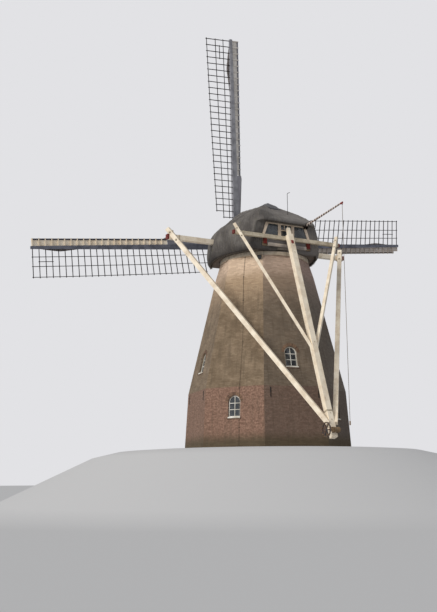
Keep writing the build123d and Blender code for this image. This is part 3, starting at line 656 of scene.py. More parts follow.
def raw_timber(name, direction, pale, dark, red_beyond=None):
    """Bare or stained timber, with its grain along the beam."""
    wood = Finish(name, roughness=0.85)
    beam = along_beam(wood, direction)
    grain = wood.noise(1.0, 6.0, distortion=0.6, at=beam, stretch=(1.5, 34, 34))
    broad = wood.noise(1.0, at=beam, stretch=(0.6, 4, 4))
    tones = wood.graded(grain, 0.3, 0.7, dark, pale)
    tones = wood.graded(broad, 0.4, 0.7, tones, dark, most=0.45)
    if red_beyond:
        along = wood.split(beam)[0]
        tones = with_red_end(wood, tones, broad, along, red_beyond, tone(124, 44, 38), tone(94, 38, 34))
    return wood.done(tones, grain, 0.005, 0.7)


def iron(name, dark, rusty, rust_share, roughness=0.55):
    """Painted or bare iron with rust in patches."""
    metal = Finish(name, roughness, metallic=0.6)
    rust = metal.spread(metal.noise(7.0, 7.0, 0.65), 0.68 - rust_share, 0.78 - rust_share)
    relief = metal.noise(60.0, 3.0) * 0.4 + rust
    return metal.done(metal.mixed(rust, dark, rusty), relief, 0.003, 0.5,
                      metal.spread(rust, 0.0, 1.0, roughness, 0.9))


tail_slope = 0.330
tail_axis = Vector((0, -tail_slope, 1)).normalized()
long_brace_axis = Vector((5.1, -0.528 - 6.151, 10.178)).normalized()
short_brace_axis = Vector((2.945, -2.0, 6.42)).normalized()
cream = (tone(252, 240, 219), tone(228, 211, 187))
wrought_iron = iron("wrought_iron", tone(52, 50, 50), tone(96, 62, 44), 0.12)
cast_iron = iron("cast_iron", tone(58, 60, 62), tone(84, 64, 52), 0.06, roughness=0.5)
white_paint = painted("white_paint", along_z, tone(232, 230, 222), tone(190, 184, 170))
rear_paint = painted("rear_window_paint", along_z, tone(232, 214, 194), tone(198, 178, 156))

refinish(painted("painted_tail_pole", tail_axis, *cream), "tail_pole")
refinish(painted("painted_long_spruit", along_x, *cream, red_beyond=5.69), "long_spruit")
refinish(painted("painted_short_spruit", along_x, tone(216, 204, 182), tone(170, 156, 132), red_beyond=3.26),
         "short_spruit")
refinish(painted("painted_long_braces", long_brace_axis, *cream, mirrored=True), "long_braces")
refinish(painted("painted_short_braces", short_brace_axis, *cream, mirrored=True), "short_braces")
refinish(raw_timber("frame_timber", along_y, tone(150, 130, 106), tone(104, 86, 68), red_beyond=2.535),
         "sheer_beams", "shaft_beams", "spruit_seats")
refinish(raw_timber("floor_boards", along_y, tone(150, 128, 100), tone(104, 84, 62)),
         "upper_floor", "top_floor")
refinish(raw_timber("weathered_boards", along_x, tone(148, 144, 146), tone(108, 102, 100)),
         "sliding_blocks", "rear_board")
refinish(wrought_iron, "wall_anchors", "hip_rod", "lever_bracket", "rope_eye")
refinish(cast_iron, "windshaft")
refinish(white_paint, "window_frames", "door_frame", "window_sills")
refinish(rear_paint, "rear_window_frame")
print("materials so far:", len(bpy.data.materials))

# %% [markdown]
# ## The thatch
# The cap is thatched with reed, more than a foot thick. The solid model keeps it as four quarters
# with crisp edges; real thatch is one soft skin. So the quarters are copied and merged, the faces
# where they meet are dropped, and a voxel remesh makes one even skin with rounded edges. Slow
# waves and small lumps are then pushed out of it, as moss and old repairs do.
# Modelling the thatch by hand would allow more, but then it could drift away from the solid.

# %% Thatched skin
thatch_nodes = [f"cap_thatch_{quarter + 1}" for quarter in range(4)]
merge_distance = 0.0005
voxel_size = 0.042
middle = Vector((0, 0, 11.6))
most_swell = 0.03
smoothings = 3

skin = bmesh.new()
for node in thatch_nodes:
    skin.from_mesh(nodes[node].data)
bmesh.ops.remove_doubles(skin, verts=skin.verts, dist=merge_distance)
seam_faces = [face for face in skin.faces
              if any(all(abs(vertex.co[axis]) < merge_distance for vertex in face.verts) for axis in (0, 1))]
bmesh.ops.delete(skin, geom=seam_faces, context="FACES")
bmesh.ops.remove_doubles(skin, verts=skin.verts, dist=merge_distance)
skin_mesh = bpy.data.meshes.new("thatch_source")
skin.to_mesh(skin_mesh)
skin.free()
skin_source = show("thatch_source", skin_mesh)
remesh = skin_source.modifiers.new("even_skin", "REMESH")
remesh.mode = "VOXEL"
remesh.voxel_size = voxel_size

skin = bmesh.new()
skin.from_mesh(baked(skin_source))
for _ in range(smoothings):
    bmesh.ops.smooth_vert(skin, verts=skin.verts, factor=0.5,
                          use_axis_x=True, use_axis_y=True, use_axis_z=True)
skin.normal_update()
for vertex in skin.verts:
    outward = vertex.normal.dot((vertex.co - middle).normalized())
    if outward > 0.15:
        waves = value_noise.noise(vertex.co * 0.9) * 0.016 + value_noise.noise(vertex.co * 3.7) * 0.006
        moss = max(0.0, value_noise.noise(vertex.co * 7.3) - 0.22) * 0.05
        vertex.co += vertex.normal * min(waves + moss, most_swell)


def reed_finish():
    """Old reed: fine lines that run down the roof, paler patches, moss, darker towards the hem,
    and a painted highlight: one side paler, as if in sun.
    """
    reed = Finish("weathered_reed", roughness=0.95)
    x, y, z = reed.split(reed.place)
    bearing = reed.out("Vector", "VectorMath", {0: reed.joined(x, y - 0.2, 0.0)}, operation="NORMALIZE")
    bearing_x, bearing_y, _ = reed.split(bearing)
    fall = reed.joined(bearing_x, bearing_y, z * 0.022)
    lines = reed.noise(95.0, 4.0, 0.65, at=fall)
    wide = reed.noise(22.0, 5.0, 0.6, at=fall)
    patches = reed.noise(1.1, 7.0, 0.62)
    moss = reed.noise(5.0, 6.0, 0.7)
    colour = reed.graded(patches, 0.34, 0.68, tone(84, 80, 78), tone(122, 118, 114))
    colour = reed.graded(lines, 0.42, 0.66, colour, tone(58, 54, 52), most=0.55)
    colour = reed.graded(wide, 0.5, 0.72, colour, tone(132, 124, 112), most=0.4)
    colour = reed.graded(moss, 0.58, 0.7, colour, tone(88, 88, 62), most=0.55)
    colour = reed.mixed(reed.spread(z + patches * 0.4, 10.95, 11.35, 0.6, 0.0), colour, tone(66, 62, 60))
    # Painted highlight: the side towards -x is mixed towards a pale tone, as if sunlit.
    colour = reed.mixed(reed.spread(x, -0.1, 1.0, 0.24, 0.0), colour, tone(176, 170, 166))
    return reed.done(colour, lines + moss * 0.5, 0.03, 0.9)


piece_from(skin, "thatch_skin", reed_finish(), "cap", "thatch", thatch_nodes, smooth=True)

# %% [markdown]
# ## Reed ends along the hems
# Where thatch ends, the cut reeds show as a fringe. Each reed is a thin four-sided cone, one of
# thousands, so it must stay cheap. They hang in a few rows under the hem and under the eave above
# the rear windows, all leaning a little differently. The gap in the eave lets the brake lever out.

# %% Reed ends
dice = random.Random(11)
hull_half_width, hull_widest_y, hull_curve = 3.05, -0.25, 3.78
hem_low, hem_start, hem_end = 10.66, -2.5, 2.46
first_inset, row_inset = 0.195, 0.03
reed_clear = 2.62
reed_step = 0.021
eave_half, eave_y, eave_z, eave_reeds = 1.42, 2.80, 12.235, 150
eave_row = 0.045
lever_x, lever_gap = -1.2, 0.16
reed_spots = []


def hem_half(y):
    """Half the cap's width at its hem."""
    return hull_half_width - (y - hull_widest_y) ** 2 / (2 * hull_curve)


def add_reed(start, lean_x, lean_y, shortest, longest):
    """Hang one reed, with a lean, a length and a shade of its own."""
    downwards = (lean_x + dice.uniform(-0.2, 0.2), lean_y + dice.uniform(-0.2, 0.2), -1)
    length = dice.uniform(shortest, longest)
    reed_spots.append(spot(place(start, (0.3, 1, 0), downwards), (1, 1, length), dice.random()))


hem_y = hem_start
while hem_y < hem_end:
    for row in range(4):
        inset = first_inset + row_inset * row + dice.uniform(-0.01, 0.01)
        for side in (-1, 1):
            start = Vector((side * (hem_half(hem_y) - inset), hem_y + dice.uniform(-0.01, 0.01),
                            hem_low + 0.01 * row))
            if start.xy.length > reed_clear:
                add_reed(start, side * (0.18 - 0.12 * row), 0, 0.5, 1.2)
    hem_y += reed_step
for step in range(eave_reeds):
    eave_x = 2 * eave_half * step / (eave_reeds - 1) - eave_half
    if abs(eave_x - lever_x) > lever_gap:
        for row in range(3):
            start = (eave_x + dice.uniform(-0.008, 0.008), eave_y - eave_row * row, eave_z)
            add_reed(start, 0, 0.45, 0.45, 0.9)


def cut_reed_finish():
    reed = Finish("cut_reed", roughness=0.95)
    fine = reed.noise(14.0)
    reeds = own_shade(reed, tone(62, 57, 54), tone(112, 104, 94))
    return reed.done(reed.graded(fine, 0.4, 0.7, reeds, tone(84, 78, 70)), fine, 0.002, 0.4)


copies_piece(reed_tree, reed_spots, {"Length": 0.11}, "reed_fringe", cut_reed_finish(), "cap", "thatch")
print("reeds:", len(reed_spots))

# %% [markdown]
# ## Under the hem and round the ring
# From below one looks up under the hem, where cut reeds fill the room between the thatch and
# the curb. The fill is one flat body on each side: its inner edge keeps clear of the ring, its outer
# edge ends inside the thatch. Below the rear windows two mouldings close the cap's foot.

# %% Hem fill and mouldings
ring_clear, hem_inset = 2.54, 0.24
fill_low, fill_high = 10.665, 10.86
fill_end, fill_steps = 2.44, 40
moulding_half, moulding_y = 1.2, 2.47

hem_fill = bmesh.new()
for side in (-1, 1):
    rings = []
    for step in range(fill_steps + 1):
        y = between(-fill_end, fill_end, step / fill_steps)
        inner = math.sqrt(ring_clear ** 2 - y ** 2)
        outer = max(hem_half(y) - hem_inset, inner + 0.02)
        ring = [Vector((side * x, y, z)) for x, z in
                ((inner, fill_low), (outer, fill_low), (outer, fill_high), (inner, fill_high))]
        rings.append(ring if side > 0 else ring[::-1])
    add_loft(hem_fill, rings)


def under_reed():
    """Reed ends seen from below, a dense speckle with broad stains."""
    reed = Finish("under_reed", roughness=0.95)
    speckle = reed.noise(30.0, 6.0, 0.7)
    colour = reed.graded(speckle, 0.35, 0.65, tone(92, 84, 80), tone(136, 124, 114))
    colour = reed.graded(reed.noise(2.4, 5.0), 0.4, 0.7, colour, tone(108, 94, 84))
    return reed.done(colour, speckle, 0.02, 0.8)


piece_from(hem_fill, "hem_fill", under_reed(), "cap", "thatch")
mouldings = bmesh.new()
for low, high, reach in ((10.875, 10.925, 2.625), (10.935, 11.05, 2.61)):
    add_box(mouldings, Matrix(), (-moulding_half, moulding_y, low), (moulding_half, reach, high), 0.004)
moulding_paint = painted("moulding_paint", along_x, tone(190, 178, 166), tone(138, 130, 126))
piece_from(mouldings, "foot_mouldings", moulding_paint, "cap", "painted_timber")

# %% [markdown]
# ## The ridge
# Short as it is, the ridge needs its own cover, because reed cannot be bent over an edge. Here it
# is old lead, grey and dull. The solid's shape is right, so it only gets its finish.

# %% Ridge cover
def lead_finish():
    lead = Finish("old_lead", roughness=0.6, metallic=0.35)
    cloud = lead.noise(2.6, 6.0)
    fine = lead.noise(24.0)
    colour = lead.graded(cloud, 0.35, 0.65, tone(72, 72, 74), tone(104, 104, 106))
    return lead.done(colour, cloud + fine * 0.3, 0.012, 0.6, lead.spread(fine, 0.3, 0.7, 0.5, 0.75))


refinish(lead_finish(), "ridge_cover")
print("ridge cover finished")

# %% [markdown]
# ## Lattice and stocks
# The stocks are the two long beams that carry all four sails. They are painted slate grey, and the
# upright one is painted paler than the level one, a painted highlight for the stronger light on it.
# The lattice on them is thin dark wood that lets the wind through. Both solids keep their shape.

# %% Lattice and stock finishes
for arm, arm_place in enumerate(arm_frames):
    refinish(raw_timber(f"lattice_wood_{arm + 1}", arm_place.col[0].xyz, tone(56, 50, 50), tone(32, 28, 28)),
             f"sail_lattice_{arm + 1}")
stock_names = ("front_stock", "rear_stock")
# Painted light: one slate paint in two tones, paler on the upright stock as if lit, darker on the level one
# as if in shade.
stock_tones_lit_and_shaded = ((tone(118, 120, 132), tone(84, 86, 96)), (tone(166, 166, 172), tone(132, 132, 138)))
for arm in range(2):
    refinish(painted(f"slate_paint_{arm + 1}", arm_frames[arm].col[0].xyz, *stock_tones_lit_and_shaded[arm]),
             stock_names[arm])
print("lattice bars on each arm:", len(bar_radii))

# %% [markdown]
# ## Leading boards
# On the wind side of each stock lie three long planks that follow the twist of the sail. Each plank
# is lofted: a small rectangle is turned by the pitch at every station and joined to the next.
# An array of straight boxes would show kinks. Nearer the hub two rows of planks spread outwards.

# %% Leading boards
# Painted light: the boards of all four arms carry one paint, and each arm gets its own tones, paler where the
# arm is lit and darker where it is in shade.
board_tones_lit_and_shaded = (
    (tone(252, 240, 220), tone(232, 214, 188)),
    (tone(238, 232, 226), tone(206, 200, 192)),
    (tone(206, 196, 188), tone(174, 162, 152)),
    (tone(232, 222, 206), tone(200, 188, 170)),
)
# Painted light: the root planks of the upright arms are painted pale as if lit, those of the level arms
# darker as if in shade.
root_tones_lit_and_shaded = ((tone(140, 140, 148), tone(104, 104, 112)), (tone(196, 194, 200), tone(150, 148, 154)))
board_half, board_gap = 0.013, 0.006
board_start, board_end, broken_end = 4.32, 12.45, 12.16
first_joint, board_length = 4.5, 2.65
joint_play, joint_half, lift_play = 0.3, 0.002, 0.0015
root_start, root_joint, root_end = 1.25, 2.8, 4.3
station_gap = 0.6
broken_arm = 2


def stock_edge(distance):
    """Where the boards begin beside the stock."""
    return stock_width(distance) / 2 / math.cos(pitch(distance)) + board_gap


def root_edge(share):
    """Line at a share of the width that the root planks cover, as a function of the distance."""
    def edge(distance):
        width = between(0.34, 0.6, (distance - root_start) / (root_end - root_start))
        return between(stock_edge(distance), width, share)
    return edge


def twisted_bar(builder, arm_place, ends, sides, back, front):
    """Bar along an arm that twists with the sail; each side is a number or a function of the distance."""
    steps = max(2, math.ceil((ends[1] - ends[0]) / station_gap))
    rings = []
    for step in range(steps + 1):
        distance = between(*ends, step / steps)
        low, high = [side(distance) if callable(side) else side for side in sides]
        turned = arm_place @ Matrix.Translation((distance, 0, 0)) @ Matrix.Rotation(pitch(distance), 4, "X")
        rings.append([turned @ Vector((0, across, deep)) for across, deep in
                      ((low, back), (high, back), (high, front), (low, front))])
    add_loft(builder, rings)


board_rows = ((stock_edge, 0.212), (0.217, 0.356), (0.361, 0.5))
root_rows = ((root_edge(0.0), root_edge(0.5)), (root_edge(0.51), root_edge(1.0)))
for arm, arm_place in enumerate(arm_frames):
    out = arm_place.col[0].xyz
    dice = random.Random(20 + arm)
    boards = bmesh.new()
    for row, sides in enumerate(board_rows):
        joints = [first_joint + board_length * part + dice.uniform(-joint_play, joint_play)
                  for part in (1, 2)]
        end = broken_end if arm == broken_arm and row == 2 else board_end
        for inner, outer in zip([board_start, *joints], [*joints, end]):
            lift = dice.uniform(-lift_play, lift_play)
            twisted_bar(boards, arm_place, (inner + joint_half, outer - joint_half), sides,
                        lift - board_half, lift + board_half)
    piece_from(boards, f"leading_planks_{arm + 1}", painted(f"board_paint_{arm + 1}", out, *board_tones_lit_and_shaded[arm]),
               "sails", "weathered_board", ["leading_boards"])
    root = bmesh.new()
    for ends in ((root_start, root_joint), (root_joint + 2 * joint_half, root_end)):
        for sides in root_rows:
            twisted_bar(root, arm_place, ends, sides, -board_half, board_half)
    piece_from(root, f"root_planks_{arm + 1}", raw_timber(f"root_wood_{arm + 1}", out, *root_tones_lit_and_shaded[arm % 2]),
               "sails", "weathered_board", ["leading_boards"])

# %% [markdown]
# ## Battens behind the boards
# The ends of the lattice bars reach behind the boards and hold them, and a rail runs along the outer
# edge. Against the light the pale batten ends cut the dark rail into dashes. The battens are one
# block on points, because they only differ in where they are and how wide the boards are there.

# %% Battens and rails
# Painted light: one rail wood in tones that change from arm to arm with the light on each arm.
slate_rail = (tone(76, 76, 86), tone(48, 48, 56))
rail_tones_lit_and_shaded = (slate_rail, (tone(140, 140, 148), tone(108, 108, 116)), (tone(122, 112, 106), tone(92, 84, 80)),
              slate_rail)
batten_reach, short_reach = 0.515, 0.35
batten_start, batten_wide, batten_deep, batten_back = 4.4, 0.055, 0.05, 0.026
rail_start, rail_end, broken_rail_end = 4.34, 12.42, 12.12
rail_sides = (0.415, 0.499)
for arm, arm_place in enumerate(arm_frames):
    spots = []
    for distance in bar_radii:
        if distance > batten_start:
            inner = stock_edge(distance)
            reach = short_reach if arm == broken_arm and distance > broken_end else batten_reach
            local = Matrix.Translation((distance, 0, 0)) @ Matrix.Rotation(pitch(distance), 4, "X")
            behind = Matrix.Translation((0, (inner + reach) / 2, -board_half - batten_back))
            spots.append(spot(arm_place @ local @ behind, (batten_wide, reach - inner, batten_deep)))
    # The battens take their arm's board tones, so they carry the same painted light.
    wood = raw_timber(f"batten_wood_{arm + 1}", arm_place.col[1].xyz, *board_tones_lit_and_shaded[arm])
    copies_piece(block_tree, spots, {"Block size": (1.0, 1.0, 1.0)}, f"board_battens_{arm + 1}", wood,
                 "sails", "lattice_wood")
    rail = bmesh.new()
    end = broken_rail_end if arm == broken_arm else rail_end
    twisted_bar(rail, arm_place, (rail_start, end), rail_sides, -board_half - 0.030, -board_half - 0.001)
    wood = raw_timber(f"rail_wood_{arm + 1}", arm_place.col[0].xyz, *rail_tones_lit_and_shaded[arm])
    piece_from(rail, f"leading_rail_{arm + 1}", wood, "sails", "lattice_wood")

# %% [markdown]
# ## Furled sailcloth
# The sails are set with canvas. In the photograph it is furled: each cloth is rolled up from its
# long side and tied along the stock. So it is built as what it is, one sheet wound into a spiral,
# which gives true layers at its ends. The roll follows the stations of the solid rolls, a little
# thinner, and small creases wander along it.

# %% Furled cloths
cloth_stations = ((1.5, 0.4, 0.065), (2.8, 0.5, 0.075), (4.2, 0.59, 0.08), (5.1, 0.13, 0.09),
                  (5.6, 0.06, 0.095), (7.7, 0.06, 0.1), (8.9, 0.11, 0.105), (9.5, 0.02, 0.1),
                  (10.15, -0.06, 0.1), (10.8, -0.12, 0.11), (11.5, -0.06, 0.09), (12.1, 0.0, 0.06))
cloth_start, cloth_end = cloth_stations[0][0] + 0.02, cloth_stations[-1][0] - 0.02
tie_distances = (2.1, 3.4, 4.5, 5.35, 6.4, 7.5, 8.6, 9.3, 10.0, 10.5, 11.1, 11.7)
roll_turns = 2.6
turn_steps = int(roll_turns * 14)
roll_steps = 96
core_share, wound_share = 0.36, 0.56
tie_radius, tie_grip, tie_slant = 0.006, 0.965, 0.012


def roll_height(distance, offset, radius):
    """Height of a roll's middle: it rests on the stock or on the boards, whichever is higher."""
    lean = pitch(distance)
    over_boards = offset * math.tan(lean) + (0.015 + radius) / math.cos(lean)
    return max(stock_depth(distance) / 2 + radius, over_boards)


def roll_at(distance):
    """Offset to the leading side, height over the stock's axis and radius of a roll."""
    before, after = next(pair for pair in zip(cloth_stations, cloth_stations[1:]) if distance <= pair[1][0])
    share = (distance - before[0]) / (after[0] - before[0])
    return (between(before[1], after[1], share), between(roll_height(*before), roll_height(*after), share),
            between(before[2], after[2], share))


def canvas_finish():
    """Grey canvas, with its weave and the creases of the roll in the cloth's own coordinates;
    the creases are also darkened, a painted shade.
    """
    canvas = Finish("brown_canvas", roughness=0.9)
    canvas.shader["Sheen Weight"].default_value = 0.15
    flat = canvas.out("UV", "UVMap", {}, uv_map="cloth")
    u, v, _ = canvas.split(flat)
    weave = canvas.maths("SINE", u * 2600.0) + canvas.maths("SINE", v * 2600.0)
    crease = canvas.noise(1.0, 5.0, distortion=0.8, at=flat, stretch=(2.0, 16.0, 1.0))
    colour = canvas.graded(canvas.noise(2.4, 6.0), 0.35, 0.68, tone(98, 92, 92), tone(132, 124, 122))
    # Painted shade: the canvas darkens where the creases are.
    colour = canvas.graded(crease, 0.5, 0.7, colour, tone(74, 68, 68), most=0.5)
    return canvas.done(colour, crease + weave * 0.02, 0.02, 0.8)


def tie_finish():
    line = Finish("tarred_line", roughness=0.85)
    fine = line.noise(90.0)
    return line.done(line.mixed(fine, tone(120, 108, 88), tone(168, 154, 130)), fine, 0.003, 0.6)


def spiral(arm, distance):
    """Points of the wound cloth at one distance, each with its way along the wound line."""
    offset, height, radius = roll_at(distance)
    lump = value_noise.noise(Vector((distance * 1.1, 3.0, arm * 5.0)))
    points = []
    width = 0.0
    for step in range(turn_steps + 1):
        share = step / turn_steps
        swell = value_noise.noise(Vector((distance * 3.1, share * 5.0, arm * 7.0)))
        reach = radius * (core_share + wound_share * share) * (1.0 + 0.05 * swell + 0.03 * lump * share)
        turn = 2 * math.pi * roll_turns * share + 0.5 * lump + arm
        points.append(((distance, offset + reach * math.cos(turn), height + reach * math.sin(turn)), width))
        width += 2 * math.pi * roll_turns / turn_steps * reach
    return points


canvas = canvas_finish()
tie_line = tie_finish()
for arm, arm_place in enumerate(arm_frames):
    wound = bmesh.new()
    layer = wound.loops.layers.uv.new("cloth")
    places = [between(cloth_start, cloth_end, step / roll_steps) for step in range(roll_steps + 1)]
    rows = [[(wound.verts.new(arm_place @ Vector(point)), width) for point, width in spiral(arm, distance)]
            for distance in places]
    mean_width = sum(row[-1][1] for row in rows) / len(rows)
    for step, (near, far) in enumerate(zip(rows, rows[1:])):
        for turn_step in range(turn_steps):
            corners = (near[turn_step], near[turn_step + 1], far[turn_step + 1], far[turn_step])
            face = wound.faces.new([corner for corner, _ in corners])
            for loop, (_, width), ahead in zip(face.loops, corners, (0, 0, 1, 1)):
                loop[layer].uv = (width, places[step + ahead])
    cloth = piece_from(wound, f"furled_cloth_{arm + 1}", canvas, "sails", "sailcloth", ["furled_cloths"],
                       smooth=True)
    ties = bmesh.new()
    for distance in tie_distances:
        offset, height, radius = roll_at(distance)
        loop_radius = radius * tie_grip
        ring = [arm_place @ Vector((distance + tie_slant * math.sin(turn),
                                    offset + loop_radius * math.cos(turn),
                                    height + loop_radius * math.sin(turn))) for turn in full_turn(24)]
        add_tube(ties, ring, tie_radius, 6)
    tie_piece = piece_from(ties, f"cloth_ties_{arm + 1}", tie_line, "sails", "rope", smooth=True)
    print("cloth", arm + 1, "width when unrolled:", round(mean_width, 2))

# %% [markdown]
# ## Window bars, sills and glass
# Each tower window has one upright and two cross bars over a single pane, as in the photograph.
# The bars are small boxes in the wall's frame, one mesh for all seven windows. A course of bricks
# on edge is the sill. The glass lets a little light through and mirrors the pale sky.

# %% Tower windows
window_sills = {0: 4.16, 1: 1.58, 2: 4.16, 3: 1.58, 4: 4.16, 6: 4.16, 7: 1.58}
window_half, window_spring = 0.345, 0.825
pane_half, pane_foot, pane_head = 0.2915, 0.112, 1.118
bar_half, bar_gap = 0.017, 0.0005
cross_levels = (0.445, 0.775)
bars = bmesh.new()
sills = bmesh.new()
for face, sill in window_sills.items():
    on_wall = wall_frame(face, sill)
    add_box(bars, on_wall, (-bar_half, pane_foot, -0.1160), (bar_half, pane_head, -0.0935), 0.003)
    for level in cross_levels:
        for low, high in ((-pane_half, -bar_half - bar_gap), (bar_half + bar_gap, pane_half)):
            add_box(bars, on_wall, (low, level - bar_half, -0.1155), (high, level + bar_half, -0.0945), 0.003)
    add_box(sills, on_wall, (-0.4, -0.055, -0.02), (0.4, -0.003, 0.028), 0.004)
piece_from(bars, "window_bars", white_paint, "tower", "white_paint")


def clouded(name, cloud, first, second, fine, depth, strength):
    """Stone or brick without joints: one noise for its colour, a fine one for its relief."""
    stone = Finish(name, roughness=0.9)
    return stone.done(stone.graded(stone.noise(*cloud), 0.35, 0.65, first, second), stone.noise(fine),
                      depth, strength)


def pane_finish():
    """Old glass, slightly wavy, that lets some light through."""
    pane = Finish("window_pane", roughness=0.06, shine=0.6)
    pane.shader["IOR"].default_value = 1.5
    pane.shader["Transmission Weight"].default_value = 0.55
    ripple = pane.noise(3.2, 2.0)
    colour = pane.graded(ripple, 0.35, 0.65, tone(70, 76, 84), tone(104, 110, 116))
    return pane.done(colour, ripple, 0.01, 0.25)


on_edge = clouded("brick_on_edge", (13.0, 3.0), tone(92, 72, 60), tone(128, 104, 86), 60.0, 0.004, 0.7)
piece_from(sills, "sill_course", on_edge, "tower", "brick")
refinish(pane_finish(), "window_glass", "rear_window_glass")

# %% [markdown]
# ## Brick arches
# Above each window a ring of bricks stands on edge, and a straight row of them lies over the door.
# The tree from before sets them out, tilted so that they follow the arch. The wall's own pattern
# would be less work, but its courses are level and cannot bend round an opening.

# %% Brick arches
dice = random.Random(5)
brick_tall, brick_wide, brick_deep = 0.165, 0.052, 0.05
brick_back = -0.018
arch_count, lintel_count = 21, 18
arch_reach = window_half + brick_tall / 2 + 0.004
door_face, door_foot, door_half, door_height = 5, 0.15, 0.5, 2.05
arch_spots = []
for face, sill in window_sills.items():
    for step in range(arch_count):
        turn = math.pi * (step + 0.5) / arch_count
        across, up = arch_reach * math.cos(turn), window_spring + arch_reach * math.sin(turn)
        tilt = Matrix.Rotation(turn - math.pi / 2, 4, "Z")
        size = (1.0 + dice.uniform(-0.04, 0.04), 1.0 + dice.uniform(-0.02, 0.02), 1.0)
        on_arch = wall_frame(face, sill) @ Matrix.Translation((across, up, brick_back)) @ tilt
        arch_spots.append(spot(on_arch, size, dice.random()))
on_door = wall_frame(door_face, door_foot)
lintel_half = door_half + 0.06
for step in range(lintel_count):
    across = lintel_half * (2 * (step + 0.5) / lintel_count - 1)
    on_lintel = Matrix.Translation((across, door_height + 0.11, brick_back))
    arch_spots.append(spot(on_door @ on_lintel, (1.12, 1.2, 1.0), dice.random()))


def arch_brick_finish():
    brick = Finish("arch_brick", roughness=0.9)
    fine = brick.noise(40.0, 5.0)
    bricks = own_shade(brick, tone(88, 68, 58), tone(142, 114, 92))
    return brick.done(brick.graded(fine, 0.5, 0.75, bricks, tone(76, 66, 54)), fine, 0.006, 0.8)


copies_piece(block_tree, arch_spots, {"Block size": (brick_wide, brick_tall, brick_deep)}, "arch_bricks",
             arch_brick_finish(), "tower", "brick")

# %% [markdown]
# ## The door
# A mill's door is made of upright planks on ledges, with long strap hinges. The solid is one plain
# slab, so planks replace it. Their edges are taken off, which draws the joints.

# %% Plank door
door_recess = 0.22
door_place = on_door @ Matrix.Translation((0, 0, -door_recess))
plank_count, sight_half, sight_height = 5, 0.409, 1.958
plank_wide, plank_gap = 2 * sight_half / plank_count, 0.0015
ledge_levels, ledge_half = (0.25, 0.98, 1.7), 0.06
hinge_levels, hinge_half = ledge_levels[::2], 0.022
iron_back = 0.0482
handle_x, handle_y, handle_radius = 0.33, 1.035, 0.035
planks = bmesh.new()
for plank in range(plank_count):
    low = -sight_half + plank_wide * plank
    add_box(planks, door_place, (low + plank_gap, 0.002, 0.012),
            (low + plank_wide - plank_gap, sight_height, 0.048), 0.005)
for level in ledge_levels:
    add_box(planks, door_place, (-0.39, level - ledge_half, 0.0005),
            (0.39, level + ledge_half, 0.0115), 0.002)
green_paint = painted("dark_green_paint", along_z, tone(44, 74, 58), tone(34, 54, 46))
piece_from(planks, "door_planks", green_paint, "tower", "dark_green_paint", ["plank_door"])
ironwork = bmesh.new()
for level in hinge_levels:
    add_box(ironwork, door_place, (-0.40, level - hinge_half, iron_back),
            (0.22, level + hinge_half, iron_back + 0.006), 0.002)
    pin = [door_place @ Vector((-0.405, level + lift, 0.056)) for lift in (-0.05, 0.05)]
    add_tube(ironwork, pin, 0.012, 10)
add_box(ironwork, door_place, (0.30, 0.95, iron_back), (0.36, 1.13, iron_back + 0.004), 0.002)
handle = [door_place @ Vector((handle_x + handle_radius * math.sin(turn),
                               handle_y - handle_radius * math.cos(turn), 0.060)) for turn in full_turn(16)]
add_tube(ironwork, handle, 0.006, 8)
piece_from(ironwork, "door_ironwork", wrought_iron, "tower", "iron")

# %% [markdown]
# ## Rear windows
# Behind the tail pole the cap has three windows. The middle one has small panes in its top row, so
# it gets a rail and two short bars. They sit inside the frame's depth.

# %% Bars of the rear windows
gable_y, sight_top, rail_z = 2.5, 12.16, 11.86
rail_half = 0.03
small_bars = bmesh.new()
add_box(small_bars, Matrix(), (-0.329, gable_y - 0.034, rail_z - rail_half),
        (0.329, gable_y - 0.004, rail_z + rail_half), 0.004)
for x in (-0.11, 0.11):
    add_box(small_bars, Matrix(), (x - 0.019, gable_y - 0.033, rail_z + 0.031),
            (x + 0.019, gable_y - 0.006, sight_top - 0.001), 0.003)
piece_from(small_bars, "rear_window_bars", rear_paint, "cap", "white_paint")

# %% [markdown]
# ## Straps and bolts
# Heavy timbers are held by iron. Straps go round each place where two beams cross, with bolts
# beside them, all painted over with the beams. All bolts are one shape that the tree repeats. A red
# plate holds the tail pole's head against the short spruit.

# %% Straps and bolts
tail_top_y, short_spruit_y, short_spruit_z = 2.86, 2.6, 11.37
long_spruit_y, long_spruit_z = -0.578, 11.628
long_brace_head = Vector((5.45, long_spruit_y + 0.195, long_spruit_z))
short_brace_head = Vector((3.02, short_spruit_y + 0.12, short_spruit_z))
long_foot_x, long_foot_z, short_foot_x, short_foot_z = 0.35, 1.45, 0.075, 4.95
long_strap_x, short_strap_x, tail_strap_z = 5.1, 2.75, 1.75
tail_bolt_heights = (10.78, 10.42, 5.3, 1.62, 1.3)
plate_z = 11.04
tail_back = Vector((0, 1, tail_slope)).normalized()


def on_tail(z):
    """Middle of the tail pole at height z."""
    return Vector((0, tail_top_y + (short_spruit_z - z) * tail_slope, z))


def add_strap(builder, middle, along, side, half_wide, half_deep, width=0.07, thick=0.01):
    """Iron band round a rectangular beam: a plate on each of its four faces."""
    band = place(middle, along, Vector(along).cross(Vector(side)))
    half, y_out, z_out = width / 2, half_wide + thick, half_deep + thick
    for low, high in (((-y_out, -z_out), (y_out, -half_deep)), ((-y_out, half_deep), (y_out, z_out)),
                      ((-y_out, -half_deep), (-half_wide, half_deep)),
                      ((half_wide, -half_deep), (y_out, half_deep))):
        add_box(builder, band, (-half, *low), (half, *high), 0.002)


def bolt(middle, outwards):
    return spot(place(middle, Vector(outwards).orthogonal(), outwards))


def brace_line(side, head, foot_x, foot_z):
    """Head of the brace on one side and the direction down along it to the tail pole."""
    head = Vector((side * head.x, head.y, head.z))
    return head, (on_tail(foot_z) + Vector((side * foot_x, 0, 0)) - head).normalized()


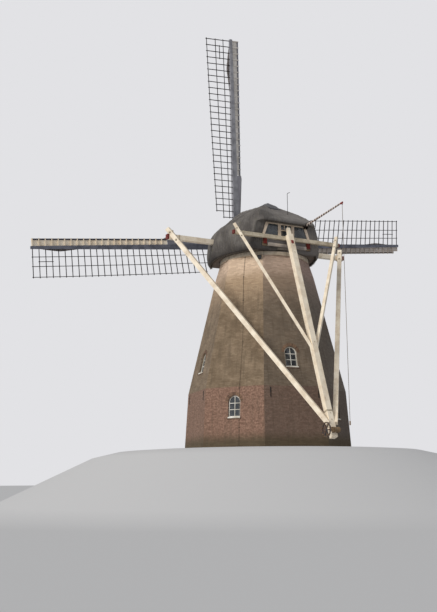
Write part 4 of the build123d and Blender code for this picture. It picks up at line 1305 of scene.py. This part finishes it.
straps = bmesh.new()
cap_bolts = []
for side in (-1, 1):
    head, down = brace_line(side, long_brace_head, long_foot_x, long_foot_z)
    for distance in (-0.30, 0.32):
        add_strap(straps, head + down * distance, down, along_y, 0.122, 0.122)
    for lift in (-0.07, 0.07):
        cap_bolts.append(bolt(head + Vector((0, 0.128, 0)) + down * lift, along_y))
    add_strap(straps, (side * long_strap_x, long_spruit_y, long_spruit_z), along_x, along_y, 0.136, 0.136)
    head, down = brace_line(side, short_brace_head, short_foot_x, short_foot_z)
    for distance in (-0.24, 0.26):
        add_strap(straps, head + down * distance, down, along_y, 0.082, 0.082, 0.05, 0.008)
    cap_bolts.append(bolt(head + Vector((0, 0.085, 0)), along_y))
    add_strap(straps, (side * short_strap_x, short_spruit_y, short_spruit_z), along_x, along_y, 0.101, 0.101,
              0.05, 0.008)
add_strap(straps, on_tail(tail_strap_z), tail_axis, along_x, 0.152, 0.152, 0.08)
cap_bolts += [bolt(on_tail(z) + tail_back * 0.151, tail_back) for z in tail_bolt_heights]
strap_paint = painted("strap_paint", along_z, tone(206, 194, 172), tone(150, 138, 118))
piece_from(straps, "beam_straps", strap_paint, "cap", "iron")
copies_piece(round_tree, cap_bolts, {"Sides": 6, "Radius": 0.03, "Length": 0.036}, "cap_bolts", strap_paint,
             "cap", "iron")

plate = bmesh.new()
plate_place = place(on_tail(plate_z), tail_axis, tail_back)
add_box(plate, plate_place, (-0.10, -0.075, 0.147), (0.10, 0.075, 0.168), 0.004)
plate_paint = painted("plate_paint", along_z, tone(150, 52, 44), tone(108, 44, 38))
piece_from(plate, "head_plate", plate_paint, "cap", "iron")

# %% [markdown]
# ## Wedges and bands on the shaft's head
# The stocks pass through the iron head of the shaft and are wedged there, so that they can be
# tightened. Iron bands keep each stock from splitting beside its wedges.

# %% Wedges and bands
head_half = 0.32
wedge_length, wedge_half_wide, wedge_half_deep = 0.16, 0.018, 0.075
band_distances, band_clear = (0.62, 1.15), 0.001
bolt_across, bolt_lift = 0.22, 0.25
wedges = bmesh.new()
bands = bmesh.new()
head_bolts = []
for arm_place in arm_frames:
    out, leading = arm_place.col[0].xyz, arm_place.col[1].xyz
    wedge_middle = stock_width(0.4) / 2 + 0.022
    for middle in (-wedge_middle, wedge_middle):
        add_box(wedges, arm_place, (head_half, middle - wedge_half_wide, -wedge_half_deep),
                (head_half + wedge_length, middle + wedge_half_wide, wedge_half_deep), 0.004)
    for distance in band_distances:
        on_stock = arm_place @ Vector((distance, 0, 0))
        add_strap(bands, on_stock, out, leading, stock_width(distance) / 2 + band_clear,
                  stock_depth(distance) / 2 + band_clear, 0.06, 0.008)
    head_side = hub + out * (head_half + 0.001)
    for across in (-bolt_across, bolt_across):
        for lift in (-bolt_lift, bolt_lift):
            head_bolts.append(bolt(head_side + shaft_axis * across + leading * lift, out))
oak = raw_timber("oak_wedges", along_x, tone(150, 126, 98), tone(104, 82, 60))
piece_from(wedges, "stock_wedges", oak, "sails", "bare_timber")
piece_from(bands, "stock_bands", wrought_iron, "sails", "iron")
copies_piece(round_tree, head_bolts, {"Sides": 6, "Radius": 0.026, "Length": 0.03}, "head_bolts", cast_iron,
             "sails", "cast_iron")

# %% [markdown]
# ## Winch and brake lever
# At its foot the tail pole carries the winch that turns the cap. Wooden pegs round the wheel's rim
# are there to pull on. The brake lever is striped, so that it can be seen moving from below; the
# stripes wind round it, which is one sine of the place along it and the turn.

# %% Winch and lever
winch_z, peg_x, winch_behind = 0.82, 0.61, 0.33
peg_circle, peg_count = 0.335, 12
pivot = Vector((lever_x, 2.66, 12.272))
lever_tip = Vector((lever_x, 6.2, 12.57))
lever_length = (lever_tip - pivot).length
red_start = lever_length - 0.22


def winch_finish():
    """Wooden frame, and beyond a place across it the iron wheel."""
    winch = Finish("winch_paint", roughness=0.6)
    grain = winch.noise(1.0, stretch=(3, 30, 30))
    wood = winch.mixed(grain, tone(146, 122, 94), tone(104, 84, 64))
    wheel = winch.graded(winch.noise(5.0, 6.0), 0.4, 0.68, tone(66, 66, 68), tone(98, 70, 54))
    return winch.done(winch.graded(winch.split(winch.place)[0], 0.46, 0.48, wood, wheel), grain, 0.004, 0.5)


def stripe_finish():
    """Pale and dark stripes that wind round the lever, and a red tip."""
    stripe = Finish("striped_lever", roughness=0.55)
    turn = (lever_tip - pivot).rotation_difference(Vector(along_x))
    along, y, z = stripe.split(stripe.mapped(stripe.place, Rotation=turn.to_euler()[:],
                                             Location=(-(turn @ pivot))[:]))
    winding = stripe.maths("SINE", along * 28.0 + stripe.maths("ARCTAN2", z, y))
    cloud = stripe.noise(8.0, 5.0)
    pale = stripe.graded(cloud, 0.4, 0.7, tone(226, 214, 204), tone(184, 170, 158))
    dark = stripe.graded(cloud, 0.4, 0.7, tone(84, 54, 52), tone(58, 42, 42))
    colour = stripe.graded(winding, -0.12, 0.02, dark, pale)
    colour = stripe.graded(along, red_start, red_start + 0.01, colour, tone(132, 46, 38))
    return stripe.done(colour, cloud, 0.004, 0.4)


refinish(winch_finish(), "tail_winch")
refinish(stripe_finish(), "brake_lever")
refinish(raw_timber("handle_wood", along_z, tone(150, 120, 84), tone(104, 78, 52)), "rope_handle")
pegs = []
for step in range(peg_count):
    turn = 2 * math.pi * (step + 0.5) / peg_count
    on_rim = Vector((peg_x, winch_behind + peg_circle * math.cos(turn), peg_circle * math.sin(turn)))
    pegs.append(spot(place(on_tail(winch_z) + on_rim, along_y, along_x)))
copies_piece(round_tree, pegs, {"Sides": 10, "Radius": 0.016, "Length": 0.08}, "winch_pegs",
             raw_timber("peg_wood", along_x, tone(164, 138, 106), tone(120, 96, 70)), "cap", "bare_timber")
print("pegs:", len(pegs), "lever:", round(lever_length, 2), "m")

# %% [markdown]
# ## The curb, the front boards and the floor
# The two rings on which the cap turns are joined from curved timbers. The lower is pale, the upper
# a little darker, and both show a joint at even steps. The front of the cap is closed
# with upright green boards round the shaft. Both patterns are lines at even steps in the material:
# cutting them into the mesh would add faces that nobody sees. The ground floor is worn stone.

# %% Curb, boards and floor
ring_joints = 12
board_wide = 0.18


def even_joints(finish, value, low, high):
    """One at every whole step of a value, nought between."""
    middle = finish.maths("ABSOLUTE", finish.maths("FRACT", value) - 0.5)
    return finish.spread(middle, low, high)


def ring_finish(name, pale, grimy):
    wood = Finish(name, roughness=0.6)
    x, y, z = wood.split(wood.place)
    turn = wood.maths("ARCTAN2", y, x) * (ring_joints / (2 * math.pi))
    joint = even_joints(wood, turn, 0.492, 0.497)
    grain = wood.noise(1.0, at=wood.joined(turn * 0.9, 0.0, z * 40.0))
    tones = wood.graded(wood.noise(3.0, 6.0), 0.38, 0.7, pale, grimy)
    tones = wood.mixed(grain * 0.25, tones, grimy)
    return wood.done(wood.mixed(joint, tones, tone(70, 62, 54)), grain - joint, 0.006, 0.5)


def green_boards():
    green = Finish("green_boards", roughness=0.6)
    joint = even_joints(green, green.split(green.place)[0] * (1 / board_wide), 0.44, 0.49)
    grain = green.noise(1.0, stretch=(30, 30, 1.4))
    colour = green.graded(green.noise(1.8, 6.0), 0.35, 0.7, tone(46, 76, 60), tone(58, 84, 70))
    colour = green.mixed(grain * 0.4, colour, tone(34, 52, 44))
    return green.done(green.mixed(joint, colour, tone(20, 30, 26)), grain - joint, 0.01, 0.7)


refinish(ring_finish("pale_curb", tone(212, 200, 182), tone(170, 156, 136)), "tower_ring")
refinish(ring_finish("upper_curb", tone(150, 142, 134), tone(112, 104, 96)), "cap_ring")
refinish(green_boards(), "front_boards")
refinish(clouded("stone_slab", (2.2, 7.0), tone(120, 114, 104), tone(96, 90, 80), 45.0, 0.004, 0.6),
         "ground_floor")
print("joints in each ring:", ring_joints)

# %% [markdown]
# ## Wire and lamp on the tower
# A lightning wire comes down from under the cap along one wall, held by clips, and a small dark lamp
# sits below the ring. Both are thin, but from below they are seen against the pale brick.

# %% Wire and lamp
wire_face, wire_radius, wire_out = 1, 0.007, 0.022
wire_route = ((0.12, 0.30), (1.1, 0.30), (2.2, 0.30), (3.1, 0.30), (3.3, 0.295), (5.6, 0.25), (7.9, 0.06),
              (9.25, -0.04), (10.42, -0.05))
lamp_radius, lamp_height, lamp_angle = 2.52, 10.30, math.radians(54.7)


def wire_finish():
    """Brown below, nearly black where the wall under the cap stays dry."""
    patina = Finish("wire_patina", roughness=0.7)
    height = patina.split(patina.place)[2]
    patina.feed(patina.shader["Base Color"],
                patina.graded(height, 7.8, 9.2, tone(104, 90, 74), tone(52, 44, 38)))
    return patina.material


wire = bmesh.new()
wire_points = [wall_frame(wire_face, z, wire_out) @ Vector((across, 0, 0)) for z, across in wire_route]
add_tube(wire, wire_points, wire_radius, 6)
piece_from(wire, "lightning_wire", wire_finish(), "tower", "iron", smooth=True)
wire_clips = [spot(wall_frame(wire_face, z) @ Matrix.Translation((across, 0, 0.012)))
              for z, across in wire_route]
copies_piece(block_tree, wire_clips, {"Block size": (0.05, 0.03, 0.024)}, "wire_clips", wrought_iron, "tower",
             "iron")

lamp_out = Vector((math.cos(lamp_angle), math.sin(lamp_angle), 0))
lamp_foot = lamp_out * lamp_radius + Vector((0, 0, lamp_height))
lamp_place = place(lamp_foot, (-lamp_out.y, lamp_out.x, 0), lamp_out)
lamp = bmesh.new()
add_box(lamp, lamp_place, (-0.03, -0.05, 0.0), (0.03, 0.05, 0.08), 0.004)
add_box(lamp, lamp_place, (-0.11, -0.11, 0.075), (0.11, 0.07, 0.19), 0.012)
add_box(lamp, lamp_place, (-0.125, 0.068, 0.070), (0.125, 0.084, 0.215), 0.004)
piece_from(lamp, "wall_lamp", cast_iron, "tower", "cast_iron")
